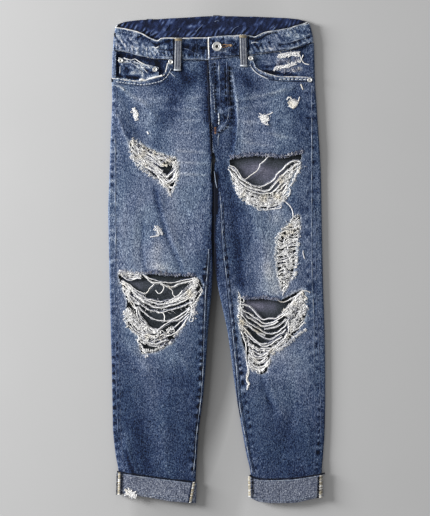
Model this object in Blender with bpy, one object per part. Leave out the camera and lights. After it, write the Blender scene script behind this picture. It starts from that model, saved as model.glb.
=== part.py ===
"""Ripped five-pocket jeans, laid flat on their back with the front up and the cuffs turned up.

Each leg is a flattened tube. Its cross-sections come from a short table, a row for each
height: the outer fold, the outseam, the inseam and the inner fold. The front panel covers
a section from seam to seam. The back panel runs round both folds and lies underneath.
Right and left are the wearer's: right is at -X. The waist is at +Y and the ground at z = 0.
Tables and sizes are in millimetres.
"""

from collections import namedtuple
from math import cos, exp, hypot, pi, sin

import bmesh
import bpy

MM = 0.001
SEAM_GAP = 0.3
HEM_GAP = 0.6
WAIST_GAP = 0.8
CLOTH = 1.5
INNER_CLOTH = 1.2
BAND_CLOTH = 2.6
CUFF_CLOTH = 1.6
LOOP_CLOTH = 1.6
POCKET_CLOTH = 1.5
THREAD_BED = 1.2
CROTCH_Y = 190
CENTRE_BACK_X = -6

# Outline of each leg, at heights up the garment. Above the crotch "inseam" is the
# centre-front seam and "inner" the centre-back seam.
LegRow = namedtuple("LegRow", "y outer outseam inseam inner")
RIGHT_LEG = (
    LegRow(450, -192, -184, -14, -6),
    LegRow(417, -197, -188, -14, -6),
    LegRow(379, -199, -192, -14, -6),
    LegRow(341, -200, -192, -12, -6),
    LegRow(303, -199, -191, -10, -6),
    LegRow(256, -201, -192, -8, -6),
    LegRow(215, -203, -192, -7, -6),
    LegRow(180, -204, -192, -10, -7),
    LegRow(151, -205, -192, -11, -8),
    LegRow(94, -207, -193, -13, -9),
    LegRow(37, -206, -192, -15, -10),
    LegRow(-10, -205, -192, -18, -10),
    LegRow(-58, -204, -190, -22, -12),
    LegRow(-134, -202, -188, -25, -17),
    LegRow(-210, -200, -186, -27, -22),
    LegRow(-267, -199, -185, -31, -27),
    LegRow(-326, -198, -184, -39, -35),
    LegRow(-371, -193, -180, -42, -38),
    LegRow(-404, -187, -175, -45, -40),
    LegRow(-460, -187, -176, -48, -42),
)
LEFT_LEG = (
    LegRow(450, 175, 168, -14, -6),
    LegRow(417, 182, 172, -14, -6),
    LegRow(379, 185, 175, -14, -6),
    LegRow(341, 186, 178, -12, -6),
    LegRow(303, 189, 180, -10, -6),
    LegRow(256, 192, 180, -8, -6),
    LegRow(215, 195, 181, -7, -6),
    LegRow(180, 197, 181, -1, -5),
    LegRow(151, 198, 182, 4, -4),
    LegRow(94, 199, 182, 9, -4),
    LegRow(37, 200, 181, 11, -4),
    LegRow(-10, 201, 181, 16, -1),
    LegRow(-58, 202, 182, 22, 6),
    LegRow(-134, 205, 188, 30, 20),
    LegRow(-210, 206, 193, 38, 30),
    LegRow(-267, 206, 195, 42, 38),
    LegRow(-326, 205, 195, 52, 48),
    LegRow(-371, 202, 192, 60, 56),
    LegRow(-404, 199, 191, 68, 64),
    LegRow(-460, 200, 191, 70, 66),
)

# Thickness of the lying garment: underside, height at the outer fold, crown of the
# panel, and height at the inner fold. The seat is lifted by the back pockets and
# loops that lie under it, and each hem by the cuff.
HeightRow = namedtuple("HeightRow", "y under edge crown inner")
HEIGHTS = (
    HeightRow(460, 1.9, 8.6, 9.2, 9.2),
    HeightRow(330, 1.9, 8.6, 9.2, 9.2),
    HeightRow(240, 1.9, 7.8, 9.2, 9.2),
    HeightRow(204, 1.9, 7.6, 9.0, 9.0),
    HeightRow(178, 0.6, 6.8, 8.2, 7.4),
    HeightRow(152, 0.0, 6.3, 7.4, 6.6),
    HeightRow(94, 0.0, 6.2, 7.3, 6.2),
    HeightRow(-371, 0.0, 6.0, 7.2, 6.0),
    HeightRow(-402, 2.2, 8.0, 9.2, 8.0),
    HeightRow(-460, 2.2, 8.0, 9.0, 8.0),
)

# Largest folds of the front: a crease line, its half width and its height (less
# than 0 for a trough).
Fold = namedtuple("Fold", "name line half_width height")
FOLDS = (
    Fold("hip ridge", ((-198, 292), (-179, 246), (-160, 205)), 15, 1.8),
    Fold("hip hollow", ((-160, 270), (-138, 226)), 13, -0.7),
    Fold("fly pleat", ((40, 338), (50, 288), (46, 233), (42, 192)), 14, 1.6),
    Fold("side drag, left hip", ((186, 268), (120, 262)), 14, 0.8),
    Fold("thigh hollow, right", ((-60, 90), (-52, 20)), 18, -0.6),
    Fold("knee fold, right", ((-186, -190), (-120, -214)), 16, 0.8),
    Fold("knee fold, left", ((60, -236), (150, -226)), 16, 0.9),
    Fold("shin hollow, left", ((150, -255), (140, -345)), 16, -0.7),
    Fold("shin ridge, right", ((-92, -250), (-100, -350)), 16, 0.8),
    Fold("hem pleat, right", ((-176, -360), (-160, -410)), 13, 1.3),
)

# Edges of the waistband by x: its lower and upper edge in front, and at the back.
BandRow = namedtuple("BandRow", "x front_low front_top back_low back_top")
WAISTBAND = (
    BandRow(-200, 397, 443, 397, 443),
    BandRow(-176, 395, 438, 409, 452),
    BandRow(-155, 390, 433, 413, 455),
    BandRow(-139, 386, 428, 414, 456),
    BandRow(-125, 382, 420, 415, 457),
    BandRow(-112, 381, 415, 416, 457),
    BandRow(-103, 381, 420, 416, 458),
    BandRow(-60, 380, 420, 418, 460),
    BandRow(-17, 379, 421, 421, 463),
    BandRow(15, 384, 424, 421, 463),
    BandRow(58, 389, 425, 420, 462),
    BandRow(71, 390, 422, 419, 462),
    BandRow(92, 392, 431, 418, 461),
    BandRow(136, 398, 439, 416, 459),
    BandRow(159, 405, 447, 415, 456),
    BandRow(186, 413, 447, 413, 447),
)
BAND_PROUD = 0.7
OVERLAP_END_X = -17
UNDERLAP_END_X = 16
OVERLAP_RISE = 1.5
UNDERLAP_DROP = 1.4

# Edges of the turned-up cuffs by x.
CuffRow = namedtuple("CuffRow", "x low top")
RIGHT_CUFF = (
    CuffRow(-190, -443, -405),
    CuffRow(-127, -452, -414),
    CuffRow(-89, -459, -419),
    CuffRow(-40, -463, -425),
)
LEFT_CUFF = (
    CuffRow(62, -452, -412),
    CuffRow(78, -460, -418),
    CuffRow(105, -463, -419),
    CuffRow(150, -462, -417),
    CuffRow(205, -449, -408),
)

# Nominal heights of the panels' cross-sections. Past the two bends, the sections
# lean to meet the waistband and the hem.
WAIST_BEND, WAIST_ROW = 325, 385
HEM_BEND, HEM_ROW = -378, -456
SECTION_ROWS = (
    HEM_ROW, -430, -404, HEM_BEND, -350, -320, -290, -258, -226, -194, -162, -130, -98, -66,
    -34, -2, 30, 62, 94, 124, 152, 178, 204, 232, 262, 294, WAIST_BEND, 345, 365, WAIST_ROW,
)
FRONT_COLUMNS = 13
YOKE_SEAM_ROW = 345
YOKE_DIP = 26

# Pocket mouths: the edge of the front panel, from the outseam to the waistband.
RIGHT_MOUTH = (
    (-215, 345), (-179, 344), (-160, 340), (-146, 338), (-130, 341), (-118, 345),
    (-106, 349), (-98, 357), (-93, 369), (-91, 400),
)
LEFT_MOUTH = (
    (205, 346), (157, 346), (126, 347), (108, 349), (90, 355), (77, 363), (70, 374), (66, 400),
)
MOUTH_TOP_Y = 430
COIN_POCKET = ((-187, 384), (-111, 365), (-110, 330), (-186, 330))

# Rips through the front panels, and the loose weft that hangs in each of them.
Rip = namedtuple("Rip", "name leg outline weft")
RIPS = (
    Rip(
        "right_thigh", "right",
        ((-163, 225), (-133, 212), (-111, 202), (-80, 191), (-75, 174), (-77, 154),
         (-89, 127), (-100, 142), (-122, 162), (-146, 181), (-161, 198)),
        ((-160, 221), (-132, 209), (-110, 199), (-83, 188), (-78, 174), (-80, 154),
         (-89, 132), (-98, 145), (-120, 165), (-144, 184), (-158, 200)),
    ),
    Rip(
        "left_thigh", "left",
        ((28, 192), (59, 196), (86, 198), (111, 195), (142, 199), (160, 201), (157, 186),
         (147, 166), (136, 143), (129, 117), (112, 100), (86, 97), (63, 109), (44, 126),
         (29, 151), (24, 176)),
        ((28, 174), (42, 166), (51, 155), (66, 143), (83, 141), (102, 149), (122, 168),
         (142, 182), (153, 184), (144, 167), (133, 144), (126, 119), (111, 103),
         (87, 100), (65, 112), (47, 128), (32, 152)),
    ),
    Rip(
        "left_side", "left",
        ((157, 85), (160, 56), (153, 28), (152, -25), (137, -48), (126, -62), (115, -37),
         (109, -11), (110, 33), (122, 56), (141, 71)),
        ((154, 80), (157, 56), (150, 28), (149, -24), (135, -46), (127, -56), (118, -36),
         (112, -10), (113, 32), (124, 53), (142, 68)),
    ),
    Rip(
        "left_knee", "left",
        ((40, -60), (52, -76), (85, -74), (113, -78), (135, -71), (163, -58), (167, -88),
         (165, -118), (135, -155), (103, -179), (94, -213), (77, -215), (59, -195),
         (54, -177), (44, -137), (42, -88)),
        ((46, -92), (69, -101), (86, -115), (110, -115), (125, -106), (144, -85), (161, -72),
         (164, -89), (162, -116), (133, -152), (100, -177), (92, -209), (78, -211),
         (62, -194), (57, -177), (47, -137)),
    ),
    Rip(
        "right_knee", "right",
        ((-185, -25), (-143, -29), (-122, -28), (-85, -31), (-41, -33), (-28, -51),
         (-33, -71), (-46, -92), (-59, -116), (-70, -133), (-92, -162), (-137, -180),
         (-147, -168), (-151, -144), (-170, -124), (-172, -99), (-171, -77), (-180, -54)),
        ((-172, -56), (-160, -58), (-143, -66), (-130, -70), (-112, -82), (-92, -82),
         (-65, -66), (-42, -50), (-32, -52), (-36, -70), (-49, -91), (-62, -114),
         (-73, -131), (-94, -159), (-136, -176), (-144, -167), (-148, -142), (-167, -123),
         (-169, -99), (-168, -78)),
    ),
)
WEFT_DROP = 0.6

BELT_LOOP_WIDTH = 13
BeltLoop = namedtuple("BeltLoop", "name x low top lean")
FRONT_LOOPS = (
    BeltLoop("belt_loop_front_right", -75, 359, 421, 2),
    BeltLoop("belt_loop_front_left", 51, 367, 427, -2),
)
BACK_LOOPS = (
    BeltLoop("belt_loop_back_right", -128, 402, 458, 0),
    BeltLoop("belt_loop_back_centre", -1, 404, 465, 0),
    BeltLoop("belt_loop_back_left", 118, 402, 460, 0),
)

ZIP_SPAN = (236, 372)
SHIELD_SPAN = (226, 376)
BACK_POCKET_WIDTH, BACK_POCKET_HEIGHT, BACK_POCKET_POINT = 128, 132, 16
BACK_POCKET_TOP_Y = 338
BACK_POCKET_X = 96

BUTTON_XY, BUTTON_RADIUS = (0, 404), 8.8
RIVET_RADIUS = 4.6
Rivet = namedtuple("Rivet", "name x y rests_on")
RIVETS = (
    Rivet("rivet_coin_outer", -183, 378, "coin"),
    Rivet("rivet_coin_inner", -118, 361, "coin"),
    Rivet("rivet_mouth_right", -88, 375, "panel"),
    Rivet("rivet_mouth_left", 64, 382, "panel"),
    Rivet("rivet_side_left", 176, 341, "panel"),
)


# ---------------------------------------------------------------- reading the tables


def read(rows, column, at):
    """A table's column at one value of its first column, in straight steps between rows."""
    ordered = sorted(rows)
    if at <= ordered[0][0]:
        return getattr(ordered[0], column)
    for low, high in zip(ordered, ordered[1:]):
        if at <= high[0]:
            share = (at - low[0]) / (high[0] - low[0])
            return getattr(low, column) * (1 - share) + getattr(high, column) * share
    return getattr(ordered[-1], column)


def distance_to_line(x, y, line):
    """Distance from a point to the nearest stretch of a crease line."""
    best = 1e9
    for (x1, y1), (x2, y2) in zip(line, line[1:]):
        run, rise = x2 - x1, y2 - y1
        share = ((x - x1) * run + (y - y1) * rise) / (run * run + rise * rise)
        share = min(1.0, max(0.0, share))
        best = min(best, hypot(x - x1 - share * run, y - y1 - share * rise))
    return best


def fold_height(x, y):
    return sum(f.height * exp(-((distance_to_line(x, y, f.line) / f.half_width) ** 2)) for f in FOLDS)


def band_edge(edge, x, back):
    """An edge of the waistband, "low" or "top", from the front (back = 0) round to the back (1)."""
    return read(WAISTBAND, f"front_{edge}", x) * (1 - back) + read(WAISTBAND, f"back_{edge}", x) * back


class Leg:
    """One leg's tube: the heights of its top surface and the places of its seams."""

    def __init__(self, name, rows, cuff):
        self.name, self.rows, self.cuff = name, rows, cuff
        self.side = 1 if rows[0].outer > 0 else -1

    def x(self, column, base):
        return read(self.rows, column, base)

    def y(self, base, x, back=0.0):
        """Height of a nominal section at x. Sections lean to the waistband and to the hem."""
        if base > WAIST_BEND:
            edge = band_edge("low", x, back) - WAIST_GAP
            return WAIST_BEND + (edge - WAIST_BEND) * (base - WAIST_BEND) / (WAIST_ROW - WAIST_BEND)
        if base < HEM_BEND:
            edge = read(self.cuff, "low", x) + CUFF_CLOTH + HEM_GAP
            return HEM_BEND + (edge - HEM_BEND) * (base - HEM_BEND) / (HEM_ROW - HEM_BEND)
        return base

    def base(self, x, y):
        """The nominal section that passes through a point beside the hem."""
        edge = read(self.cuff, "low", x) + CUFF_CLOTH + HEM_GAP
        return HEM_BEND + (y - HEM_BEND) * (HEM_ROW - HEM_BEND) / (edge - HEM_BEND)

    def top(self, x, base):
        """Height of the front's outer face: low at the folds, full between, with the creases."""
        outer, inner = self.x("outer", base), self.x("inner", base)
        across = min(1.0, max(0.0, (x - outer) / (inner - outer)))
        crown = read(HEIGHTS, "crown", base)
        outer_fall = 1 - sin(pi / 2 * min(1.0, across / 0.3))
        inner_fall = 1 - sin(pi / 2 * min(1.0, (1 - across) / 0.3))
        level = crown - (crown - read(HEIGHTS, "edge", base)) * outer_fall
        level -= (crown - read(HEIGHTS, "inner", base)) * inner_fall
        near_fold = min(1.0, across / 0.08, (1 - across) / 0.08 if base < CROTCH_Y else 1.0)
        return level + fold_height(x, self.y(base, x)) * near_fold


RIGHT = Leg("right", RIGHT_LEG, RIGHT_CUFF)
LEFT = Leg("left", LEFT_LEG, LEFT_CUFF)
LEGS = {"right": RIGHT, "left": LEFT}


def leg_at(x):
    return RIGHT if x < OVERLAP_END_X + 3 else LEFT


def surface(x, y):
    """Height of the front's outer face at a point in plan."""
    leg = leg_at(x)
    base = y
    if y > WAIST_BEND:
        edge = read(WAISTBAND, "front_low", x) - WAIST_GAP
        base = WAIST_BEND + (y - WAIST_BEND) * (WAIST_ROW - WAIST_BEND) / (edge - WAIST_BEND)
    return leg.top(x, base)


# ---------------------------------------------------------------- making solids


def material(name, colour, roughness, metallic=0.0):
    made = bpy.data.materials.new(name)
    made.use_nodes = True
    shader = made.node_tree.nodes["Principled BSDF"]
    shader.inputs["Base Color"].default_value = (*colour, 1.0)
    shader.inputs["Roughness"].default_value = roughness
    shader.inputs["Metallic"].default_value = metallic
    return made


def add_object(name, mesh_builder, finish, smooth=False):
    """A new object whose mesh comes from a bmesh, with its faces turned outwards."""
    bmesh.ops.recalc_face_normals(mesh_builder, faces=mesh_builder.faces)
    mesh = bpy.data.meshes.new(name)
    mesh_builder.to_mesh(mesh)
    mesh_builder.free()
    if smooth:
        mesh.shade_smooth()
        mesh.set_sharp_from_angle(angle=pi / 6)
    made = bpy.data.objects.new(name, mesh)
    made.data.materials.append(finish)
    bpy.context.collection.objects.link(made)
    return made


def scaled(point):
    return tuple(MM * value for value in point)


def wall(name, outer, inner, finish, round_the_loop=False):
    """A closed wall between two grids of points, outer[row][column] and inner[row][column]."""
    made = bmesh.new()
    outside = [[made.verts.new(scaled(p)) for p in row] for row in outer]
    inside = [[made.verts.new(scaled(p)) for p in row] for row in inner]
    rows, columns = len(outer), len(outer[0])
    spans = range(columns) if round_the_loop else range(columns - 1)
    for row in range(rows - 1):
        for column in spans:
            beside = (column + 1) % columns
            for grid in (outside, inside):
                a, b = grid[row][column], grid[row][beside]
                c, d = grid[row + 1][beside], grid[row + 1][column]
                made.faces.new((a, b, c))
                made.faces.new((a, c, d))
    for row in (0, rows - 1):
        for column in spans:
            beside = (column + 1) % columns
            made.faces.new(
                (outside[row][column], outside[row][beside], inside[row][beside], inside[row][column])
            )
    if not round_the_loop:
        for column in (0, columns - 1):
            for row in range(rows - 1):
                made.faces.new(
                    (outside[row][column], outside[row + 1][column],
                     inside[row + 1][column], inside[row][column])
                )
    return add_object(name, made, finish)


def moved(grid, lift):
    return [[(x, y, z + lift) for x, y, z in row] for row in grid]


def sheet(name, grid, thickness, finish, lift=0.0):
    """A wall under a grid of points, moved up or down by lift."""
    return wall(name, moved(grid, lift), moved(grid, lift - thickness), finish)


def plate(name, outline, top, bottom, finish):
    """A wall with a free outline. top and bottom give its faces' heights at x, y."""
    made = bmesh.new()
    upper = [made.verts.new(scaled((x, y, top(x, y)))) for x, y in outline]
    face = made.faces.new(upper)
    bmesh.ops.triangulate(made, faces=[face])
    pairs = {vertex: (x, y) for vertex, (x, y) in zip(upper, outline)}
    lower = {v: made.verts.new(scaled((x, y, bottom(x, y)))) for v, (x, y) in pairs.items()}
    for triangle in list(made.faces):
        made.faces.new([lower[v] for v in reversed(triangle.verts)])
    for start, end in zip(upper, upper[1:] + upper[:1]):
        made.faces.new((start, end, lower[end], lower[start]))
    return add_object(name, made, finish)


def cutter(name, outline):
    """An upright prism that a Boolean cuts away. It isn't part of the model."""
    made = plate(name, outline, lambda x, y: 40.0, lambda x, y: -20.0, CUTTER)
    made.hide_render = True
    made.display_type = "WIRE"
    return made


def cut(target, tool):
    modifier = target.modifiers.new(tool.name, "BOOLEAN")
    modifier.operation = "DIFFERENCE"
    modifier.solver = "EXACT"
    modifier.object = tool


def turned(name, profile, finish, place, steps=24):
    """A solid of revolution about a vertical axis. profile runs from the axis round to it again."""
    made = bmesh.new()
    rings = []
    for radius, z in profile:
        if radius == 0:
            rings.append([made.verts.new((0, 0, z * MM))] * steps)
            continue
        turns = [2 * pi * step / steps for step in range(steps)]
        rings.append([made.verts.new((radius * MM * cos(a), radius * MM * sin(a), z * MM)) for a in turns])
    for low, high in zip(rings, rings[1:]):
        for step in range(steps):
            beside = (step + 1) % steps
            corners = dict.fromkeys((low[step], low[beside], high[beside], high[step]))
            made.faces.new(list(corners))
    disc = add_object(name, made, finish, smooth=True)
    disc.location = scaled(place)
    return disc


for old in list(bpy.data.objects):
    bpy.data.objects.remove(old, do_unlink=True)

DENIM = material("denim", (0.10, 0.17, 0.30), 0.9)
DENIM_REVERSE = material("denim_reverse", (0.36, 0.42, 0.50), 0.95)
WEFT = material("weft_threads", (0.80, 0.78, 0.72), 0.95)
BRASS = material("zip_brass", (0.55, 0.42, 0.20), 0.4, 1.0)
NICKEL = material("nickel", (0.62, 0.62, 0.62), 0.35, 1.0)
CUTTER = material("cutter", (1.0, 0.0, 0.0), 1.0)


# ---------------------------------------------------------------- front


def front_grid(leg):
    """Points of the front panel's outer face, from the outseam to the inseam, hem to waist."""
    grid = []
    for base in SECTION_ROWS:
        start = leg.x("outseam", base) - leg.side * SEAM_GAP / 2
        inward = -leg.side if base < CROTCH_Y or leg is RIGHT else 0
        end = leg.x("inseam", base) - inward * SEAM_GAP
        row = []
        for column in range(FRONT_COLUMNS):
            x = start + (end - start) * column / (FRONT_COLUMNS - 1)
            row.append((x, leg.y(base, x), leg.top(x, base)))
        grid.append(row)
    return grid


def mouth_outline(edge):
    """The piece that a pocket mouth takes out of the front, closed above the waist."""
    return edge + ((edge[-1][0], MOUTH_TOP_Y), (edge[0][0], MOUTH_TOP_Y))


def make_fronts():
    mouths = {"right": RIGHT_MOUTH, "left": LEFT_MOUTH}
    for leg in LEGS.values():
        panel = sheet(f"front_{leg.name}", front_grid(leg), CLOTH, DENIM)
        cut(panel, cutter(f"mouth_cut_{leg.name}", mouth_outline(mouths[leg.name])))
        for rip in RIPS:
            if rip.leg == leg.name:
                cut(panel, cutter(f"rip_cut_{rip.name}", rip.outline))


def make_weft():
    """The loose weft left across each rip: a plain bed of its reach, just under the face."""
    for rip in RIPS:
        plate(
            f"weft_{rip.name}", rip.weft,
            lambda x, y: surface(x, y) - WEFT_DROP,
            lambda x, y: surface(x, y) - WEFT_DROP - THREAD_BED,
            WEFT,
        )


# ---------------------------------------------------------------- pockets in front

FACING_COLUMNS = 8
FACING_ROWS = 5
COIN_LIFT = -(CLOTH + SEAM_GAP)
RIGHT_FACING_LIFT = COIN_LIFT - INNER_CLOTH - SEAM_GAP


def make_facings():
    """The cloth seen in each pocket mouth, from the front panel's points, moved down."""
    for leg, lift in ((RIGHT, RIGHT_FACING_LIFT), (LEFT, COIN_LIFT)):
        grid = [row[:FACING_COLUMNS] for row in front_grid(leg)[-FACING_ROWS:]]
        sheet(f"facing_{leg.name}", grid, INNER_CLOTH, DENIM, lift)


def make_coin_pocket():
    plate(
        "coin_pocket", COIN_POCKET,
        lambda x, y: surface(x, y) + COIN_LIFT,
        lambda x, y: surface(x, y) + COIN_LIFT - INNER_CLOTH,
        DENIM,
    )


# ---------------------------------------------------------------- fly


def make_fly():
    """The zip and its shield, hidden under the left front's fly edge."""
    for name, span, half_width, depth, thickness, finish in (
        ("zip", ZIP_SPAN, 9, -COIN_LIFT, INNER_CLOTH, BRASS),
        ("fly_shield", SHIELD_SPAN, 14, -RIGHT_FACING_LIFT, 1.0, DENIM),
    ):
        grid = []
        for row in range(6):
            y = span[0] + (span[1] - span[0]) * row / 5
            middle = LEFT.x("inseam", y) + 4
            grid.append([(middle + across, y, surface(middle + across, y))
                         for across in (-half_width, 0, half_width)])
        sheet(name, grid, thickness, finish, -depth)


# ---------------------------------------------------------------- back

ARC_STEPS = 4
BOTTOM_STEPS = 5


def back_section(leg, base, depth):
    """Points (x, back, z) round the back panel at one height, depth inside its outer face.

    They start at the outseam, pass over the outer fold, run along the ground and turn up
    round the inner fold to the inseam. Above the crotch the last stretch lies flat, and
    ends at the centre-back seam. back runs from 0 in front to 1 behind, over the outer fold.
    """
    s = leg.side
    under = read(HEIGHTS, "under", base)
    outseam = leg.x("outseam", base) + s * SEAM_GAP / 2
    inseam = leg.x("inseam", base) - s * SEAM_GAP / 2
    radius = (read(HEIGHTS, "edge", base) - under) / 2
    inner_radius = (read(HEIGHTS, "inner", base) - under) / 2
    outer_turn = leg.x("outer", base) - s * radius
    inner_turn = leg.x("inner", base) + s * inner_radius
    points = [(outseam, 0.0, leg.top(outseam, base) - depth)]
    for step in range(ARC_STEPS + 1):
        angle = pi / 2 - pi * step / ARC_STEPS
        reach = radius - depth
        x = outer_turn + s * reach * cos(angle)
        points.append((x, step / ARC_STEPS, under + radius + reach * sin(angle)))
    for step in range(1, BOTTOM_STEPS):
        x = outer_turn + (inner_turn - outer_turn) * step / BOTTOM_STEPS
        points.append((x, 1.0, under + depth))
    wrapped = []
    for step in range(ARC_STEPS + 1):
        angle = -pi / 2 + pi * step / ARC_STEPS
        reach = inner_radius - depth
        x = inner_turn - s * reach * cos(angle)
        wrapped.append((x, 1.0, under + inner_radius + reach * sin(angle)))
    wrapped.append((inseam, 1.0, leg.top(inseam, base) - depth))
    if base < CROTCH_Y:
        return points + wrapped
    seam = CENTRE_BACK_X + s * SEAM_GAP / 2
    last = len(wrapped) - 1
    return points + [(seam + s * 2.0 * (last - k), 1.0, under + depth) for k in range(last + 1)]


def back_grid(leg, rows, depth):
    """The back's points. Rows are pairs: a nominal height, and how far it dips at the centre."""
    grid = []
    for base, dip in rows:
        outer, centre = leg.x("outer", base), CENTRE_BACK_X
        row = []
        for x, back, z in back_section(leg, base, depth):
            inward = min(1.0, max(0.0, (x - outer) / (centre - outer))) * back
            row.append((x, leg.y(base, x, back) - dip * inward, z))
        grid.append(row)
    return grid


def make_backs():
    """Back panels below the yoke seam, and the yokes above it."""
    below = [(base, 0) for base in SECTION_ROWS if base < YOKE_SEAM_ROW]
    below[-1] = (below[-1][0], YOKE_DIP * 0.6)
    below.append((YOKE_SEAM_ROW, YOKE_DIP))
    yoke = [(YOKE_SEAM_ROW + 0.6, YOKE_DIP), (365, YOKE_DIP * 0.5), (WAIST_ROW, 0)]
    for leg in LEGS.values():
        for name, rows in (("back", below), ("yoke", yoke)):
            wall(f"{name}_{leg.name}", back_grid(leg, rows, 0), back_grid(leg, rows, CLOTH), DENIM)


def make_back_pockets():
    """Plain five-sided patch pockets, flat on the ground under the seat."""
    half = BACK_POCKET_WIDTH / 2
    low = BACK_POCKET_TOP_Y - BACK_POCKET_HEIGHT
    for leg in LEGS.values():
        middle = CENTRE_BACK_X + leg.side * BACK_POCKET_X
        outline = [
            (middle - half, BACK_POCKET_TOP_Y), (middle - half + 4, low + BACK_POCKET_POINT),
            (middle, low), (middle + half - 4, low + BACK_POCKET_POINT),
            (middle + half, BACK_POCKET_TOP_Y),
        ]
        plate(f"back_pocket_{leg.name}", outline, lambda x, y: POCKET_CLOTH, lambda x, y: 0.0, DENIM)


# ---------------------------------------------------------------- waistband and loops


def ease(share):
    share = min(1.0, max(0.0, share))
    return share * share * (3 - 2 * share)


def band_face(x, base):
    """Height of the waistband's face in front, before the lap at the fly."""
    return leg_at(x).top(x, base) + BAND_PROUD


def lap_lift(x, on_top):
    """How far the band rises where its left end laps over the fly, or sinks under it."""
    if on_top:
        return OVERLAP_RISE * ease((60 - x) / 36)
    return -UNDERLAP_DROP * ease((x + 52) / 30)


def band_section(base, depth):
    """Points (x, y part, z) round the waistband, from the overlap's end to the underlap's.

    The y part says how a point reads its height: 0 in front, 1 at the back, between on a fold.
    """
    under = read(HEIGHTS, "under", base)
    points = []
    left_outer, right_outer = LEFT.x("outer", base), RIGHT.x("outer", base)
    for x in (OVERLAP_END_X, -2, 15, 36, 58, 71, 92, 114, 136, 159, 168):
        points.append((x, 0.0, band_face(x, base) + lap_lift(x, True) - depth))
    for leg, outer in ((LEFT, left_outer), (RIGHT, right_outer)):
        high = band_face(outer, base)
        radius = (high - under) / 2
        reach = radius - depth
        arc = []
        for step in range(ARC_STEPS + 1):
            angle = pi / 2 - pi * step / ARC_STEPS
            x = outer - leg.side * radius + leg.side * reach * cos(angle)
            arc.append((x, step / ARC_STEPS, under + radius + reach * sin(angle)))
        points += arc if leg is LEFT else arc[::-1]
        if leg is LEFT:
            for share in (0.07, 0.16, 0.28, 0.4, 0.52, 0.64, 0.76, 0.86, 0.94):
                points.append((left_outer + (right_outer - left_outer) * share, 1.0, under + depth))
    for x in (-186, -176, -155, -139, -125, -112, -103, -84, -60, -42, -28, -14, UNDERLAP_END_X):
        points.append((x, 0.0, band_face(x, base) + lap_lift(x, False) - depth))
    return points


def make_waistband():
    """One strip, folded round both sides, with its left end over its right end at the fly."""
    grids = []
    for depth in (0, BAND_CLOTH):
        grid = []
        for base, share in ((395, 0.0), (420, 0.5), (445, 1.0)):
            row = []
            for x, back, z in band_section(base, depth):
                low, top = band_edge("low", x, back), band_edge("top", x, back)
                row.append((x, low + (top - low) * share, z))
            grid.append(row)
        grids.append(grid)
    wall("waistband", grids[0], grids[1], DENIM)


def make_belt_loops():
    """Strips over the band in front, from below its seam to its top edge, and under it behind."""
    for loop in FRONT_LOOPS:
        grid = []
        band_low = read(WAISTBAND, "front_low", loop.x)
        for share in (0, 0.1, 0.2, 0.32, 0.5, 0.75, 1):
            y = loop.low + (loop.top - loop.low) * share
            middle = loop.x + loop.lean * share
            rise = (BAND_PROUD + lap_lift(middle, loop.x > 0)) * ease((y - band_low + 10) / 9)
            z = max(surface(middle + side * BELT_LOOP_WIDTH / 2, min(y, 440)) for side in (-1, 0, 1))
            grid.append([(middle + side * BELT_LOOP_WIDTH / 2, y, z + rise) for side in (-1, 1)])
        sheet(loop.name, grid, LOOP_CLOTH, DENIM, LOOP_CLOTH + 2 * SEAM_GAP)
    for loop in BACK_LOOPS:
        half = BELT_LOOP_WIDTH / 2
        outline = [(loop.x - half, loop.low), (loop.x + half, loop.low),
                   (loop.x + half, loop.top), (loop.x - half, loop.top)]
        plate(loop.name, outline, lambda x, y: LOOP_CLOTH, lambda x, y: 0.0, DENIM)


# ---------------------------------------------------------------- cuffs


def cuff_section(leg, base, depth):
    """Points (x, z) all round a cuff, depth inside its outer face."""
    clear = HEM_GAP + CUFF_CLOTH
    s = leg.side
    under = read(HEIGHTS, "under", base) - clear
    outer, inner = leg.x("outer", base) + s * clear, leg.x("inner", base) - s * clear
    edge = read(HEIGHTS, "edge", base) + clear
    radius = (edge - under) / 2
    reach = radius - depth
    points = []
    start, end = outer - s * radius, inner + s * radius
    for step in range(ARC_STEPS + 1):
        angle = -pi / 2 + pi * step / ARC_STEPS
        points.append((start + s * reach * cos(angle), under + radius + reach * sin(angle)))
    for share in (0.08, 0.16, 0.26, 0.38, 0.5, 0.62, 0.74, 0.84, 0.92):
        x = start + (end - start) * share
        points.append((x, leg.top(x, base) + clear - depth))
    for step in range(ARC_STEPS + 1):
        angle = pi / 2 - pi * step / ARC_STEPS
        points.append((end - s * reach * cos(angle), under + radius + reach * sin(angle)))
    for share in (0.75, 0.5, 0.25):
        points.append((start + (end - start) * share, under + depth))
    return points


def make_cuffs():
    """Each hem turned up once, as a ring round the leg's end."""
    for leg in LEGS.values():
        grids = []
        for depth in (0, CUFF_CLOTH):
            grid = []
            for share in (0.0, 0.5, 1.0):
                row = []
                for column, (x, _) in enumerate(cuff_section(leg, HEM_ROW, depth)):
                    low, top = read(leg.cuff, "low", x), read(leg.cuff, "top", x)
                    y = low + (top - low) * share
                    x, z = cuff_section(leg, leg.base(x, y), depth)[column]
                    row.append((x, y, z))
                grid.append(row)
            grids.append(grid)
        wall(f"cuff_{leg.name}", grids[0], grids[1], DENIM_REVERSE, round_the_loop=True)


# ---------------------------------------------------------------- metal


def make_button():
    """The shank button's head: a ring with a sunk middle."""
    r = BUTTON_RADIUS
    profile = ((0, 0), (r * 0.8, 0), (r, 0.9), (r * 0.96, 1.9), (r * 0.8, 2.6), (r * 0.62, 2.4),
               (r * 0.45, 1.5), (0, 1.5))
    x, y = BUTTON_XY
    z = surface(x, y) + BAND_PROUD + OVERLAP_RISE + 2 * SEAM_GAP
    turned("button", profile, NICKEL, (x, y, z))


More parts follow.
